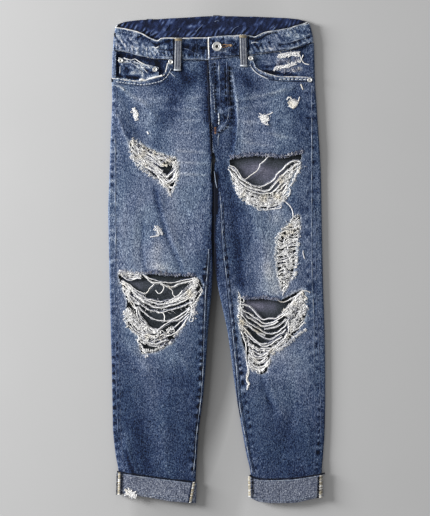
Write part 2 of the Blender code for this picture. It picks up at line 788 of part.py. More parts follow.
def make_rivets():
    r = RIVET_RADIUS
    profile = ((0, 0), (r * 0.9, 0), (r, 0.4), (r * 0.9, 0.9), (r * 0.5, 1.2), (r * 0.34, 1.7), (0, 1.8))
    for rivet in RIVETS:
        lift = COIN_LIFT if rivet.rests_on == "coin" else 0.0
        z = max(surface(rivet.x + dx, rivet.y + dy) for dx in (-r, 0, r) for dy in (-r, 0, r))
        turned(rivet.name, profile, NICKEL, (rivet.x, rivet.y, z + lift + SEAM_GAP), steps=16)


make_fronts()
make_weft()
make_facings()
make_coin_pocket()
make_fly()
make_backs()
make_back_pockets()
make_waistband()
make_belt_loops()
make_cuffs()
make_button()
make_rivets()
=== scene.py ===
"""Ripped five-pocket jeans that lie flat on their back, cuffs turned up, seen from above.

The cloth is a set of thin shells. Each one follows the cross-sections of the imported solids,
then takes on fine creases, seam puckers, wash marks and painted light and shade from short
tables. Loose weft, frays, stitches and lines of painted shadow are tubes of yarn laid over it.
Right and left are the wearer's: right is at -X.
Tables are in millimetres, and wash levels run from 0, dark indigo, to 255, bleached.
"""

from collections import namedtuple
from math import pi, radians

import bmesh
import bpy
import numpy as np

from mathutils import Matrix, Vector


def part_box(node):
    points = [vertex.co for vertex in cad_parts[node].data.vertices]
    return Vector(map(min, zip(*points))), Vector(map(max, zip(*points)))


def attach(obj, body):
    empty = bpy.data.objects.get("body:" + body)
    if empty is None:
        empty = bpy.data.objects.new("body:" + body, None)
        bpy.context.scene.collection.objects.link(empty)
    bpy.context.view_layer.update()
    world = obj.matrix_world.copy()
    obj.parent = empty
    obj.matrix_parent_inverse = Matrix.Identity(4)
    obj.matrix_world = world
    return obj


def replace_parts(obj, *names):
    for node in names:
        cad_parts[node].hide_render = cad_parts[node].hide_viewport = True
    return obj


bl_info = {
    "name": "Ripped jeans",
    "version": (1, 0, 0),
    "blender": (4, 5, 0),
    "location": "View3D > Sidebar > Jeans",
    "description": "Dresses the packed frame of a pair of ripped jeans",
    "category": "Object",
}

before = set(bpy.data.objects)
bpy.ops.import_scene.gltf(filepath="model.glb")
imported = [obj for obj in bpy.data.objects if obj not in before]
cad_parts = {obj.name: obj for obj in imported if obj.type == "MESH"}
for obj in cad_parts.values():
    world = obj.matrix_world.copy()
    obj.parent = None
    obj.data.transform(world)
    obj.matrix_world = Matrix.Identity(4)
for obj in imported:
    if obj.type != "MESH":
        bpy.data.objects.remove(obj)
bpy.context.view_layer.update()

MM = 0.001

# Gaps between neighbouring panels, and from the legs to the cuffs and the waistband.
SEAM_GAP = 0.3
HEM_GAP = 0.6
WAIST_GAP = 0.8

# Thicknesses of what lies over or round the legs. The panels' own are settings.
BAND_CLOTH = 2.6
CUFF_CLOTH = 1.6
LOOP_CLOTH = 1.6
POCKET_CLOTH = 1.2

# Rough sizes that the grids and the wear along edges are laid out by.
CENTRE_BACK_X = -6
BAND_DEPTH = 42
BAND_BASE, BAND_RISE = 395, 50
CUFF_DEPTH = 38
COIN_DEPTH = 40
LOOP_LENGTH = 62
FRONT_WIDTH = 182

# Cells of the sheets: fine in front, where the creases are seen, and coarser behind.
CELL = 2.2
BACK_CELL = 4.4

# ---------------------------------------------------------------- shape tables


def table(kind, *rows):
    """A table from the values of its rows."""
    return tuple(kind(*row) for row in rows)


# Outline of each leg, as in the solids. Above the crotch "inseam" is the centre-front
# seam and "inner" the centre-back seam.
LegRow = namedtuple("LegRow", "y outer outseam inseam inner")
RIGHT_LEG = table(
    LegRow,
    (460, -191, -183, -14, -6),
    (450, -192, -184, -14, -6),
    (417, -197, -188, -14, -6),
    (379, -199, -192, -14, -6),
    (341, -200, -192, -12, -6),
    (303, -199, -191, -10, -6),
    (256, -201, -192, -8, -6),
    (215, -203, -192, -7, -6),
    (180, -204, -192, -10, -7),
    (151, -205, -192, -11, -7.2),
    (94, -207, -193, -13, -7.4),
    (37, -206, -192, -15, -7.4),
    (-10, -205, -192, -18, -7.8),
    (-58, -204, -190, -22, -10),
    (-134, -202, -188, -25, -17),
    (-210, -200, -186, -27, -22),
    (-267, -199, -185, -31, -27),
    (-326, -198, -184, -39, -35),
    (-371, -193, -180, -42, -38),
    (-404, -187, -175, -45, -40),
    (-460, -187, -176, -48, -42),
)
LEFT_LEG = table(
    LegRow,
    (460, 173, 167, -14, -6),
    (450, 175, 168, -14, -6),
    (417, 182, 172, -14, -6),
    (379, 185, 175, -14, -6),
    (341, 186, 178, -12, -6),
    (303, 189, 180, -10, -6),
    (256, 192, 180, -8, -6),
    (215, 195, 181, -7, -6),
    (180, 197, 181, -1, -5),
    (151, 198, 182, 4, -6.6),
    (94, 199, 182, 9, -6.4),
    (37, 200, 181, 11, -6.4),
    (-10, 201, 181, 16, -5.2),
    (-58, 202, 182, 22, 3),
    (-134, 205, 188, 30, 20),
    (-210, 206, 193, 38, 30),
    (-267, 206, 195, 42, 38),
    (-326, 205, 195, 52, 48),
    (-371, 202, 192, 60, 56),
    (-404, 199, 191, 68, 64),
    (-460, 200, 191, 70, 66),
)

# Thickness of the lying garment: underside, outer fold, crown of the panel, inner fold.
HeightRow = namedtuple("HeightRow", "y under edge crown inner")
HEIGHTS = table(
    HeightRow,
    (460, 1.9, 8.6, 9.2, 9.2),
    (330, 1.9, 8.6, 9.2, 9.2),
    (240, 1.9, 7.8, 9.2, 9.2),
    (204, 1.9, 7.6, 9.0, 9.0),
    (178, 0.6, 6.8, 8.2, 7.4),
    (152, 0.0, 6.3, 7.4, 6.6),
    (94, 0.0, 6.2, 7.3, 6.2),
    (-371, 0.0, 6.0, 7.2, 6.0),
    (-402, 2.2, 8.0, 9.2, 8.0),
    (-460, 2.2, 8.0, 9.0, 8.0),
)

# Edges of the waistband by x: its lower and upper edge in front, and at the back.
BandRow = namedtuple("BandRow", "x front_low front_top back_low back_top")
WAISTBAND = table(
    BandRow,
    (-200, 397, 443, 397, 443),
    (-176, 395, 438, 409, 452),
    (-155, 390, 433, 413, 455),
    (-139, 386, 428, 414, 456),
    (-125, 382, 420, 415, 457),
    (-112, 381, 415, 416, 457),
    (-103, 381, 420, 416, 458),
    (-60, 380, 420, 418, 460),
    (-17, 379, 421, 421, 463),
    (15, 384, 424, 421, 463),
    (58, 389, 425, 420, 462),
    (71, 390, 422, 419, 462),
    (92, 392, 431, 418, 461),
    (136, 398, 439, 416, 459),
    (159, 405, 447, 415, 456),
    (186, 413, 447, 413, 447),
)
BAND_PROUD = 0.7
OVERLAP_END_X = -17
UNDERLAP_END_X = 16
OVERLAP_RISE = 1.5
UNDERLAP_DROP = 1.4

# Edges of the turned-up cuffs by x.
CuffRow = namedtuple("CuffRow", "x low top")
RIGHT_CUFF = (
    CuffRow(-190, -443, -405),
    CuffRow(-127, -452, -414),
    CuffRow(-89, -459, -419),
    CuffRow(-40, -463, -425),
)
LEFT_CUFF = (
    CuffRow(62, -452, -412),
    CuffRow(78, -460, -418),
    CuffRow(105, -463, -419),
    CuffRow(150, -462, -417),
    CuffRow(205, -449, -408),
)

# Where the nominal cross-sections, level over most of a leg, start to lean to the waistband
# and to the hem, and the last ones there.
WAIST_BEND, WAIST_ROW = 325, 385
HEM_BEND, HEM_ROW = -378, -456
YOKE_SEAM_ROW, YOKE_DIP = 345, 26

# Pocket mouths: the edge of the front panel, from the outseam to the waistband.
RIGHT_MOUTH = (
    (-215, 345), (-179, 344), (-160, 340), (-146, 338), (-130, 341), (-118, 345),
    (-106, 349), (-98, 357), (-93, 369), (-91, 400),
)
LEFT_MOUTH = (
    (205, 346), (157, 346), (126, 347), (108, 349), (90, 355), (77, 363), (70, 374), (66, 400),
)
MOUTH_TOP_Y = 440
COIN_POCKET = ((-187, 384), (-111, 365), (-110, 330), (-186, 330))

# Rips through the front panels.
Rip = namedtuple("Rip", "name leg outline")
RIPS = (
    Rip("right_thigh", "right",
        ((-163, 225), (-133, 212), (-111, 202), (-80, 191), (-75, 174), (-77, 154),
         (-89, 127), (-100, 142), (-122, 162), (-146, 181), (-161, 198))),
    Rip("left_thigh", "left",
        ((28, 192), (59, 196), (86, 198), (111, 195), (142, 199), (160, 201), (157, 186),
         (147, 166), (136, 143), (129, 117), (112, 100), (86, 97), (63, 109), (44, 126),
         (29, 151), (24, 176))),
    Rip("left_side", "left",
        ((156, 84), (156, 56), (150, 28), (149, 0), (144, -25), (136, -44), (126, -60),
         (118, -40), (115, -11), (115, 33), (124, 56), (141, 71))),
    Rip("left_knee", "left",
        ((40, -60), (52, -76), (85, -74), (113, -78), (135, -71), (163, -58), (167, -88),
         (165, -118), (135, -155), (103, -179), (94, -213), (77, -215), (59, -195),
         (54, -177), (44, -137), (42, -88))),
    Rip("right_knee", "right",
        ((-185, -25), (-143, -29), (-122, -28), (-85, -31), (-41, -33), (-28, -51),
         (-33, -71), (-46, -92), (-59, -116), (-70, -133), (-92, -162), (-137, -180),
         (-147, -168), (-151, -144), (-170, -124), (-172, -99), (-171, -77), (-180, -54))),
)

# Belt loops: the middle of each, its ends, and how far it leans to its top.
BeltLoop = namedtuple("BeltLoop", "name x low top lean")
FRONT_LOOPS = (
    BeltLoop("belt_loop_front_right", -75, 359, 421, 2),
    BeltLoop("belt_loop_front_left", 51, 367, 427, -2),
)
BACK_LOOPS = (
    BeltLoop("belt_loop_back_right", -128, 402, 458, 0),
    BeltLoop("belt_loop_back_centre", -1, 404, 465, 0),
    BeltLoop("belt_loop_back_left", 118, 402, 460, 0),
)

# Back pockets: their size, their top edge and how far from the centre back they sit.
BACK_POCKET_WIDTH, BACK_POCKET_HEIGHT, BACK_POCKET_POINT = 128, 132, 16
BACK_POCKET_TOP_Y = 338
BACK_POCKET_X = 96

# ---------------------------------------------------------------- folds and wear

# Folds of the front: a crease line, its half width and its height (less than 0 for a
# trough). Ridges are paler, partly rubbed and partly painted light, and troughs darker, partly kept dye
# and partly painted shade.
Fold = namedtuple("Fold", "line half_width height")
MAIN_FOLDS = table(
    Fold,
    (((-198, 292), (-179, 246), (-160, 205)), 13, 1.2),
    (((-160, 270), (-138, 226)), 13, -0.5),
    (((44, 338), (52, 288), (50, 233), (44, 192)), 16, 1.2),
    (((186, 268), (120, 262)), 14, 0.8),
    (((-60, 90), (-52, 20)), 18, -0.6),
    (((-186, -190), (-120, -214)), 16, 0.8),
    (((60, -236), (150, -226)), 16, 0.9),
    (((150, -255), (140, -345)), 16, -0.7),
    (((-92, -250), (-100, -350)), 16, 0.8),
    (((-176, -360), (-160, -410)), 13, 1.3),
)
FINE_FOLDS = table(
    Fold,
    # right hip
    (((-196, 330), (-168, 312), (-143, 300), (-118, 270)), 5, 0.9),
    (((-190, 318), (-172, 296), (-163, 262), (-146, 234)), 6, -0.5),
    (((-198, 291), (-188, 269), (-177, 239), (-161, 208)), 3, 0.8),
    (((-150, 318), (-120, 306), (-84, 308), (-30, 309)), 6, 0.7),
    (((-140, 284), (-112, 292), (-70, 296)), 6, -0.5),
    (((-130, 262), (-96, 268), (-50, 265), (-28, 263)), 5, 0.6),
    (((-120, 246), (-80, 240), (-30, 236)), 6, 0.5),
    (((-76, 207), (-48, 206), (-20, 203)), 4, 0.6),
    (((-74, 186), (-44, 185), (-20, 181)), 4, 0.5),
    (((-72, 164), (-44, 163), (-20, 160)), 4, 0.6),
    (((-68, 148), (-30, 143)), 4, 0.4),
    (((-72, 366), (-60, 344), (-46, 330)), 8, -0.9),
    (((-58, 366), (-36, 340)), 6, 0.6),
    # right thigh
    (((-118, 132), (-114, 106), (-105, 75), (-96, 43), (-83, 15), (-70, -20)), 4, -0.68),
    (((-108, 124), (-104, 98), (-92, 62), (-78, 28), (-62, -8)), 6, 0.6),
    (((-142, 66), (-143, 30), (-140, -12)), 5, -0.6),
    (((-124, 40), (-118, 8), (-112, -20)), 9, 0.6),
    (((-152, 120), (-158, 60), (-160, 0)), 8, 0.38),
    (((-60, 110), (-40, 84)), 6, 0.38),
    (((-56, 50), (-30, 30)), 6, -0.3),
    (((-50, 20), (-24, -14)), 6, 0.38),
    # left hip
    (((53, 312), (80, 316), (112, 318), (142, 326)), 5, 0.8),
    (((48, 298), (84, 300), (110, 310), (150, 320)), 5, -0.6),
    (((44, 262), (70, 260), (96, 256)), 5, 0.7),
    (((58, 284), (90, 284)), 5, -0.5),
    (((112, 272), (140, 262), (172, 252)), 6, 0.7),
    (((104, 254), (140, 246), (174, 234)), 5, -0.7),
    (((96, 240), (140, 230), (176, 222)), 6, 0.6),
    (((56, 226), (96, 216), (150, 210)), 6, 0.6),
    (((30, 352), (36, 312), (40, 270), (38, 232), (31, 196)), 3, 0.9),
    (((30, 330), (32, 290), (30, 250), (26, 210)), 5, -0.9),
    (((4, 276), (18, 284), (31, 290)), 3, 0.8),
    (((6, 262), (16, 272), (28, 278)), 3, -0.6),
    (((0, 236), (8, 248), (18, 262)), 3, 0.7),
    # left thigh
    (((22, 186), (28, 130), (34, 70), (40, 10), (40, -48)), 12, -1.0),
    (((72, 88), (84, 40), (92, -10), (100, -60)), 13, 1.0),
    (((104, 100), (103, 76)), 4, -0.6),
    (((130, 112), (144, 92)), 4, -0.8),
    (((56, 82), (76, 64)), 5, 0.5),
    # right shin
    (((-186, -150), (-164, -174), (-130, -208)), 5, 0.5),
    (((-180, -178), (-150, -206), (-120, -226)), 6, -0.39),
    (((-112, -170), (-84, -196)), 8, 0.44),
    (((-80, -170), (-66, -192), (-56, -212)), 4, 0.44),
    (((-98, -222), (-60, -236)), 8, -0.39),
    (((-136, -210), (-128, -250), (-120, -300)), 8, 0.44),
    (((-112, -316), (-100, -356), (-94, -406)), 6, 0.44),
    (((-172, -344), (-166, -374), (-154, -402)), 5, 0.66),
    (((-176, -374), (-164, -394), (-154, -410)), 4, -0.55),
    (((-70, -260), (-60, -330), (-64, -400)), 8, 0.28),
    # left shin
    (((84, -218), (92, -252), (108, -292)), 5, -0.61),
    (((98, -226), (110, -262), (124, -296)), 7, 0.55),
    (((98, -176), (124, -158), (150, -146)), 5, 0.44),
    (((110, -196), (140, -200), (166, -190)), 10, 0.33),
    (((138, -300), (128, -340), (120, -390)), 8, -0.44),
    (((72, -260), (78, -320), (90, -390)), 10, 0.33),
    (((150, -250), (168, -300), (172, -360)), 9, 0.28),
)
# Levels per mm of a fine fold's height: rubbed wear with painted light on ridges and painted shade in
# troughs.
WEAR_AND_SHADE_PER_MM = 11

# The even part of the wash, across each leg from the outer fold to the inner one.
WashRow = namedtuple("WashRow", "y outer front inner")
RIGHT_WASH = table(
    WashRow,
    (460, 98, 92, 66),
    (370, 98, 88, 66),
    (300, 98, 96, 76),
    (200, 102, 108, 92),
    (100, 104, 106, 90),
    (0, 102, 106, 76),
    (-100, 88, 94, 66),
    (-200, 60, 76, 60),
    (-280, 56, 58, 52),
    (-370, 60, 51, 46),
    (-460, 62, 49, 44),
)
LEFT_WASH = table(
    WashRow,
    (460, 88, 96, 66),
    (370, 74, 88, 60),
    (300, 72, 96, 62),
    (200, 74, 96, 62),
    (100, 80, 94, 66),
    (0, 80, 92, 72),
    (-100, 78, 92, 76),
    (-200, 78, 92, 76),
    (-280, 66, 70, 68),
    (-370, 59, 55, 62),
    (-460, 52, 52, 58),
)

# Hand-rubbed fades of the front, and painted shade in its folds, beside the fly and between the legs: a
# line, its half width and its change of level.
RubAndShade = namedtuple("RubAndShade", "line half_width levels")
RUBS_AND_SHADE = table(
    RubAndShade,
    # right hip and fly side
    (((-187, 318), (-172, 296), (-164, 286), (-150, 290)), 8, -20),
    (((-198, 291), (-188, 269), (-177, 239), (-161, 208)), 1.8, 34),
    (((-168, 238), (-158, 222), (-152, 216)), 6, -34),
    (((-172, 180), (-160, 130)), 26, -18),
    (((-126, 134), (-108, 120), (-104, 96)), 10, -14),
    (((-190, 330), (-160, 310), (-136, 296)), 4, 20),
    (((-97, 346), (-84, 322), (-82, 296), (-90, 270)), 15, -44),
    (((-64, 336), (-66, 316)), 12, -34),
    (((-120, 340), (-110, 320)), 14, -26),
    (((-110, 276), (-106, 240), (-118, 212)), 13, -28),
    (((-180, 264), (-160, 248), (-145, 232)), 14, -24),
    (((-180, 236), (-176, 190)), 14, -18),
    (((-152, 292), (-128, 272)), 7, 14),
    (((-132, 304), (-104, 308)), 4, 16),
    (((-62, 306), (-26, 309)), 5, 18),
    (((-70, 286), (-30, 284)), 12, 10),
    (((-70, 366), (-58, 350), (-46, 344)), 13, -54),
    (((-64, 318), (-58, 306)), 9, -10),
    (((-114, 296), (-106, 288)), 8, 14),
    (((-72, 276), (-64, 268)), 8, -12),
    (((-128, 156), (-124, 148)), 8, -12),
    (((-130, 136), (-126, 126)), 8, 16),
    (((-129, 40), (-128, 26)), 8, -16),
    (((-112, 38), (-110, 24)), 8, 18),
    (((-32, 336), (-26, 318)), 9, 14),
    (((-191, 262), (-191, 226)), 8, -12),
    (((-112, 214), (-92, 200)), 8, -18),
    # Painted shadow beside the edge of the fly.
    (((-24, 380), (-23, 300), (-20, 264)), 8, -34),
    (((-18, 380), (-17, 300), (-15, 260)), 3.5, -50),
    (((-16, 252), (-15, 204)), 4, -26),
    # Painted shade deep in the crotch, between the legs.
    (((-10, 256), (-10, 208), (-9.5, 189), (-8.5, 170), (-8, 151)), 3, -110),
    (((-4, 160), (-3.5, 113), (-4, 94)), 6.5, -110),
    (((-5, 94), (-7, 56), (-8, 37), (-6, 18), (-5, -1), (-4, -20), (-3, -45)), 4.2, -120),
    (((-110, 270), (-70, 265), (-28, 264)), 2.6, 20),
    (((-104, 288), (-66, 285), (-30, 284)), 2.4, 14),
    (((-76, 207), (-22, 203)), 2.6, 20),
    (((-74, 185), (-22, 182)), 2.6, 16),
    (((-70, 163), (-22, 160)), 2.6, 22),
    (((-96, 246), (-60, 240), (-24, 244)), 2.6, 12),
    (((-134, 262), (-128, 236)), 9, 8),
    # right thigh
    (((-118, 134), (-114, 106), (-105, 75), (-96, 43), (-83, 15), (-70, -20)), 5, -20),
    (((-153, 283), (-154, 271)), 9, -30),
    (((90, 276), (92, 260)), 15, -30),
    (((142, 304), (145, 292)), 15, -30),
    (((-117, 60), (-108, 47)), 11, -26),
    (((-122, 128), (-108, 100)), 9, -14),
    (((-143, 62), (-143, 30), (-140, -14)), 5, -16),
    (((-118, 14), (-112, -18)), 14, 24),
    (((-116, 58), (-113, 52)), 5, 30),
    (((-16, 60), (-20, 0), (-18, -70)), 8, -20),
    (((-38, 6), (-30, -22)), 10, -16),
    (((-148, 54), (-150, 0)), 12, 12),
    (((-142, -12), (-96, -14)), 9, 15),
    (((-84, 112), (-82, 60)), 9, 9),
    (((-114, 128), (-106, 90), (-96, 60)), 9, -10),
    (((-150, 130), (-140, 90)), 10, 6),
    (((-100, -20), (-84, -26)), 12, 14),
    (((-176, 120), (-176, 0)), 7, 8),
    # left hip and fly
    (((20, 370), (22, 330), (21, 292)), 4, -30),
    # Painted shadow on the low side of the pleat by the fly.
    (((28, 300), (34, 270), (34, 236), (28, 206)), 6, -38),
    (((10, 360), (6, 300)), 10, -14),
    # Painted highlight along the pleat's raised edge.
    (((29, 352), (33, 320), (38, 300), (40, 262), (38, 236)), 1.8, 40),
    (((60, 284), (70, 284)), 12, 10),
    (((160, 268), (172, 262)), 12, -14),
    (((38, 40), (44, -4), (46, -40)), 12, -20),
    (((60, 306), (100, 314), (142, 324)), 7, 16),
    (((48, 350), (58, 340), (70, 332)), 12, -46),
    (((33, 358), (34, 342)), 6, -18),
    (((50, 330), (56, 306), (66, 288)), 11, -14),
    (((144, 256), (146, 226)), 10, -12),
    (((4, 366), (4.5, 300), (6, 250)), 2.4, 26),
    (((14, 350), (16, 322)), 8, -10),
    (((64, 82), (64, 62)), 8, -11),
    (((108, 78), (126, 66)), 9, 12),
    (((49, -42), (49, -54)), 7, -14),
    (((162, -44), (174, -54)), 8, -13),
    (((36, 303), (60, 306), (90, 312), (129, 323)), 2.4, 22),
    (((40, 286), (72, 290), (107, 301)), 2.4, 20),
    (((42, 262), (70, 262), (96, 257)), 2.4, 18),
    (((58, 244), (98, 240), (150, 228)), 2.6, 18),
    (((40, 226), (78, 218), (120, 214)), 2.4, 18),
    (((104, 252), (120, 232)), 9, 12),
    (((52, 316), (92, 312)), 12, -16),
    (((50, 244), (50, 204)), 9, 20),
    (((8, 352), (10, 250)), 12, -12),
    (((16, 282), (18, 262)), 7, -16),
    (((150, 320), (160, 270), (162, 230)), 14, -12),
    (((104, 212), (160, 210)), 9, -18),
    (((52, 258), (84, 256)), 6, 10),
    (((66, 230), (100, 226)), 12, 8),
    (((6, 278), (30, 290)), 3, 14),
    (((2, 240), (16, 258)), 3, 18),
    (((90, 292), (100, 284)), 9, 12),
    # left thigh
    (((20, 170), (30, 110), (36, 40), (38, -30), (42, -60)), 15, -26),
    (((106, 76), (100, 30), (98, -30)), 14, 22),
    (((50, 92), (57, 60), (58, 34)), 14, -24),
    (((84, -52), (108, -60)), 10, 17),
    (((157, 104), (162, 86)), 7, -12),
    (((66, -38), (66, -62)), 10, -14),
    (((32, -24), (34, -54)), 8, 18),
    # Painted shade on the left leg's inner strip, by the gap between the legs.
    (((2, 60), (6, 0), (12, -60)), 7, -14),
    (((148, 114), (160, 92)), 9, -16),
    (((96, -16), (114, -60)), 14, 34),
    (((112, 100), (122, 82)), 14, 16),
    (((132, 112), (142, 94)), 5, -30),
    (((138, -58), (152, -44)), 10, 6),
    (((176, 30), (176, 0)), 9, 10),
    # right shin
    (((-176, -150), (-150, -180), (-134, -204)), 9, 20),
    (((-112, -172), (-84, -190)), 14, 14),
    (((-80, -176), (-62, -200)), 6, 11),
    (((-96, -222), (-58, -232)), 13, -8),
    (((-136, -216), (-124, -280)), 14, 7),
    (((-176, -250), (-150, -300)), 12, -6),
    (((-154, -316), (-144, -350), (-136, -392)), 12, -18),
    (((-174, -366), (-167, -384), (-160, -404)), 4, -44),
    (((-186, -372), (-180, -398)), 6, 16),
    (((-120, -200), (-118, -300), (-112, -404)), 12, 8),
    (((-176, -330), (-174, -390)), 8, 10),
    (((-104, -300), (-92, -404)), 9, 13),
    (((-122, -190), (-112, -206)), 10, -5),
    # left shin
    (((112, -166), (150, -190), (150, -216)), 22, 16),
    (((116, -246), (126, -290)), 9, 10),
    (((82, -216), (90, -250), (104, -288)), 6, -16),
    (((140, -226), (160, -260)), 14, 6),
    (((120, -320), (140, -350)), 22, -8),
    (((100, -192), (118, -182)), 14, 18),
    (((176, -248), (178, -288)), 8, 10),
    (((-112, -204), (-100, -216)), 9, 10),
    (((168, -148), (176, -172)), 10, 12),
    (((140, -408), (182, -406)), 9, -10),
    (((46, -190), (60, -240)), 9, -5),
)

# Seam puckers: where the sewing has drawn the cloth in, it ripples and wears in dashes
# across the seam, which may lean.
Pucker = namedtuple("Pucker", "line pitch reach height levels lean")
PUCKERS = (
    Pucker(((-194, 330), (-196, 200), (-197, 60), (-196, -60), (-192, -200), (-190, -330),
            (-180, -400)), 24, 7, 0.45, 22, 0),
    Pucker(((-196, 330), (-199, 200), (-200, 60), (-199, -60), (-197, -200), (-196, -300), (-192, -350),
            (-184, -400)), 15, 3.6, 0.2, 64, 0),
    Pucker(((-190, 330), (-191, 200), (-192, 60), (-191, -60), (-188, -200), (-186, -300), (-182, -350),
            (-174, -400)), 11, 2.6, 0.2, 42, 0),
    Pucker(((182, 330), (184, 200), (185, 60), (185, -60), (191, -150), (198, -260), (199, -340),
            (194, -400)), 26, 7, 0.5, 24, 0),
    Pucker(((172, 330), (172, 113), (172, 37), (173, -39), (176, -115), (177, -191),
            (180, -267)), 22, 3.2, 0.2, 34, 0),
    Pucker(((183, 330), (182, 113), (182.5, 37), (184, -39), (188, -115), (190, -191), (193, -267),
            (194, -343), (190, -400)), 15, 3.0, 0.25, 56, 0),
    Pucker(((-16, -20), (-23, -90), (-28, -170), (-33, -250), (-42, -330),
            (-49, -410)), 22, 6, 0.5, 24, 0),
    Pucker(((-22, -10), (-26, -58), (-28.5, -115), (-29, -191), (-32, -248), (-37, -305), (-41, -362),
            (-46, -405)), 17, 4.0, 0.3, 124, 0),
    Pucker(((14, 40), (22, -30), (28, -90), (35, -160), (44, -250), (56, -340),
            (66, -400)), 21, 6, 0.45, 24, 0),
    Pucker(((10, 94), (12, 60), (15, 30), (18, 0), (22, -39), (28, -90), (34, -134), (37, -157),
            (43, -191), (51, -248), (61, -305), (70, -362), (76, -402)), 16, 3.0, 0.3, 96, 0),
    Pucker(((-188, 337), (-178, 336), (-160, 334), (-140, 332), (-120, 335), (-104, 340),
            (-96, 348)), 5.7, 2.8, 0.2, 70, 0),
    Pucker(((64, 370), (76, 358), (94, 346), (112, 343), (172, 342)), 8, 2.6, 0.2, 70, 0),
)
BAND_PUCKERS = (
    Pucker(((-192, 405), (-158, 399), (-124, 391), (-84, 389)), 8, 6, 0.35, 62, 0.4),
    Pucker(((-192, 418), (-160, 410), (-130, 403), (-112, 400)), 12, 6, 0.35, 54, 1.2),
    Pucker(((-64, 387), (-22, 387)), 5.5, 3.4, 0.35, 76, 0),
    Pucker(((-62, 408), (-24, 408)), 12, 7, 0.3, 20, 0.5),
    Pucker(((62, 402), (100, 403), (130, 407), (172, 419)), 9, 6.5, 0.35, 70, 0.5),
    Pucker(((96, 424), (136, 430), (168, 440)), 7, 6, 0.25, 40, 0.6),
    Pucker(((8, 414), (40, 408)), 10, 8, 0.25, 24, 0.7),
)

# ---------------------------------------------------------------- loose yarn

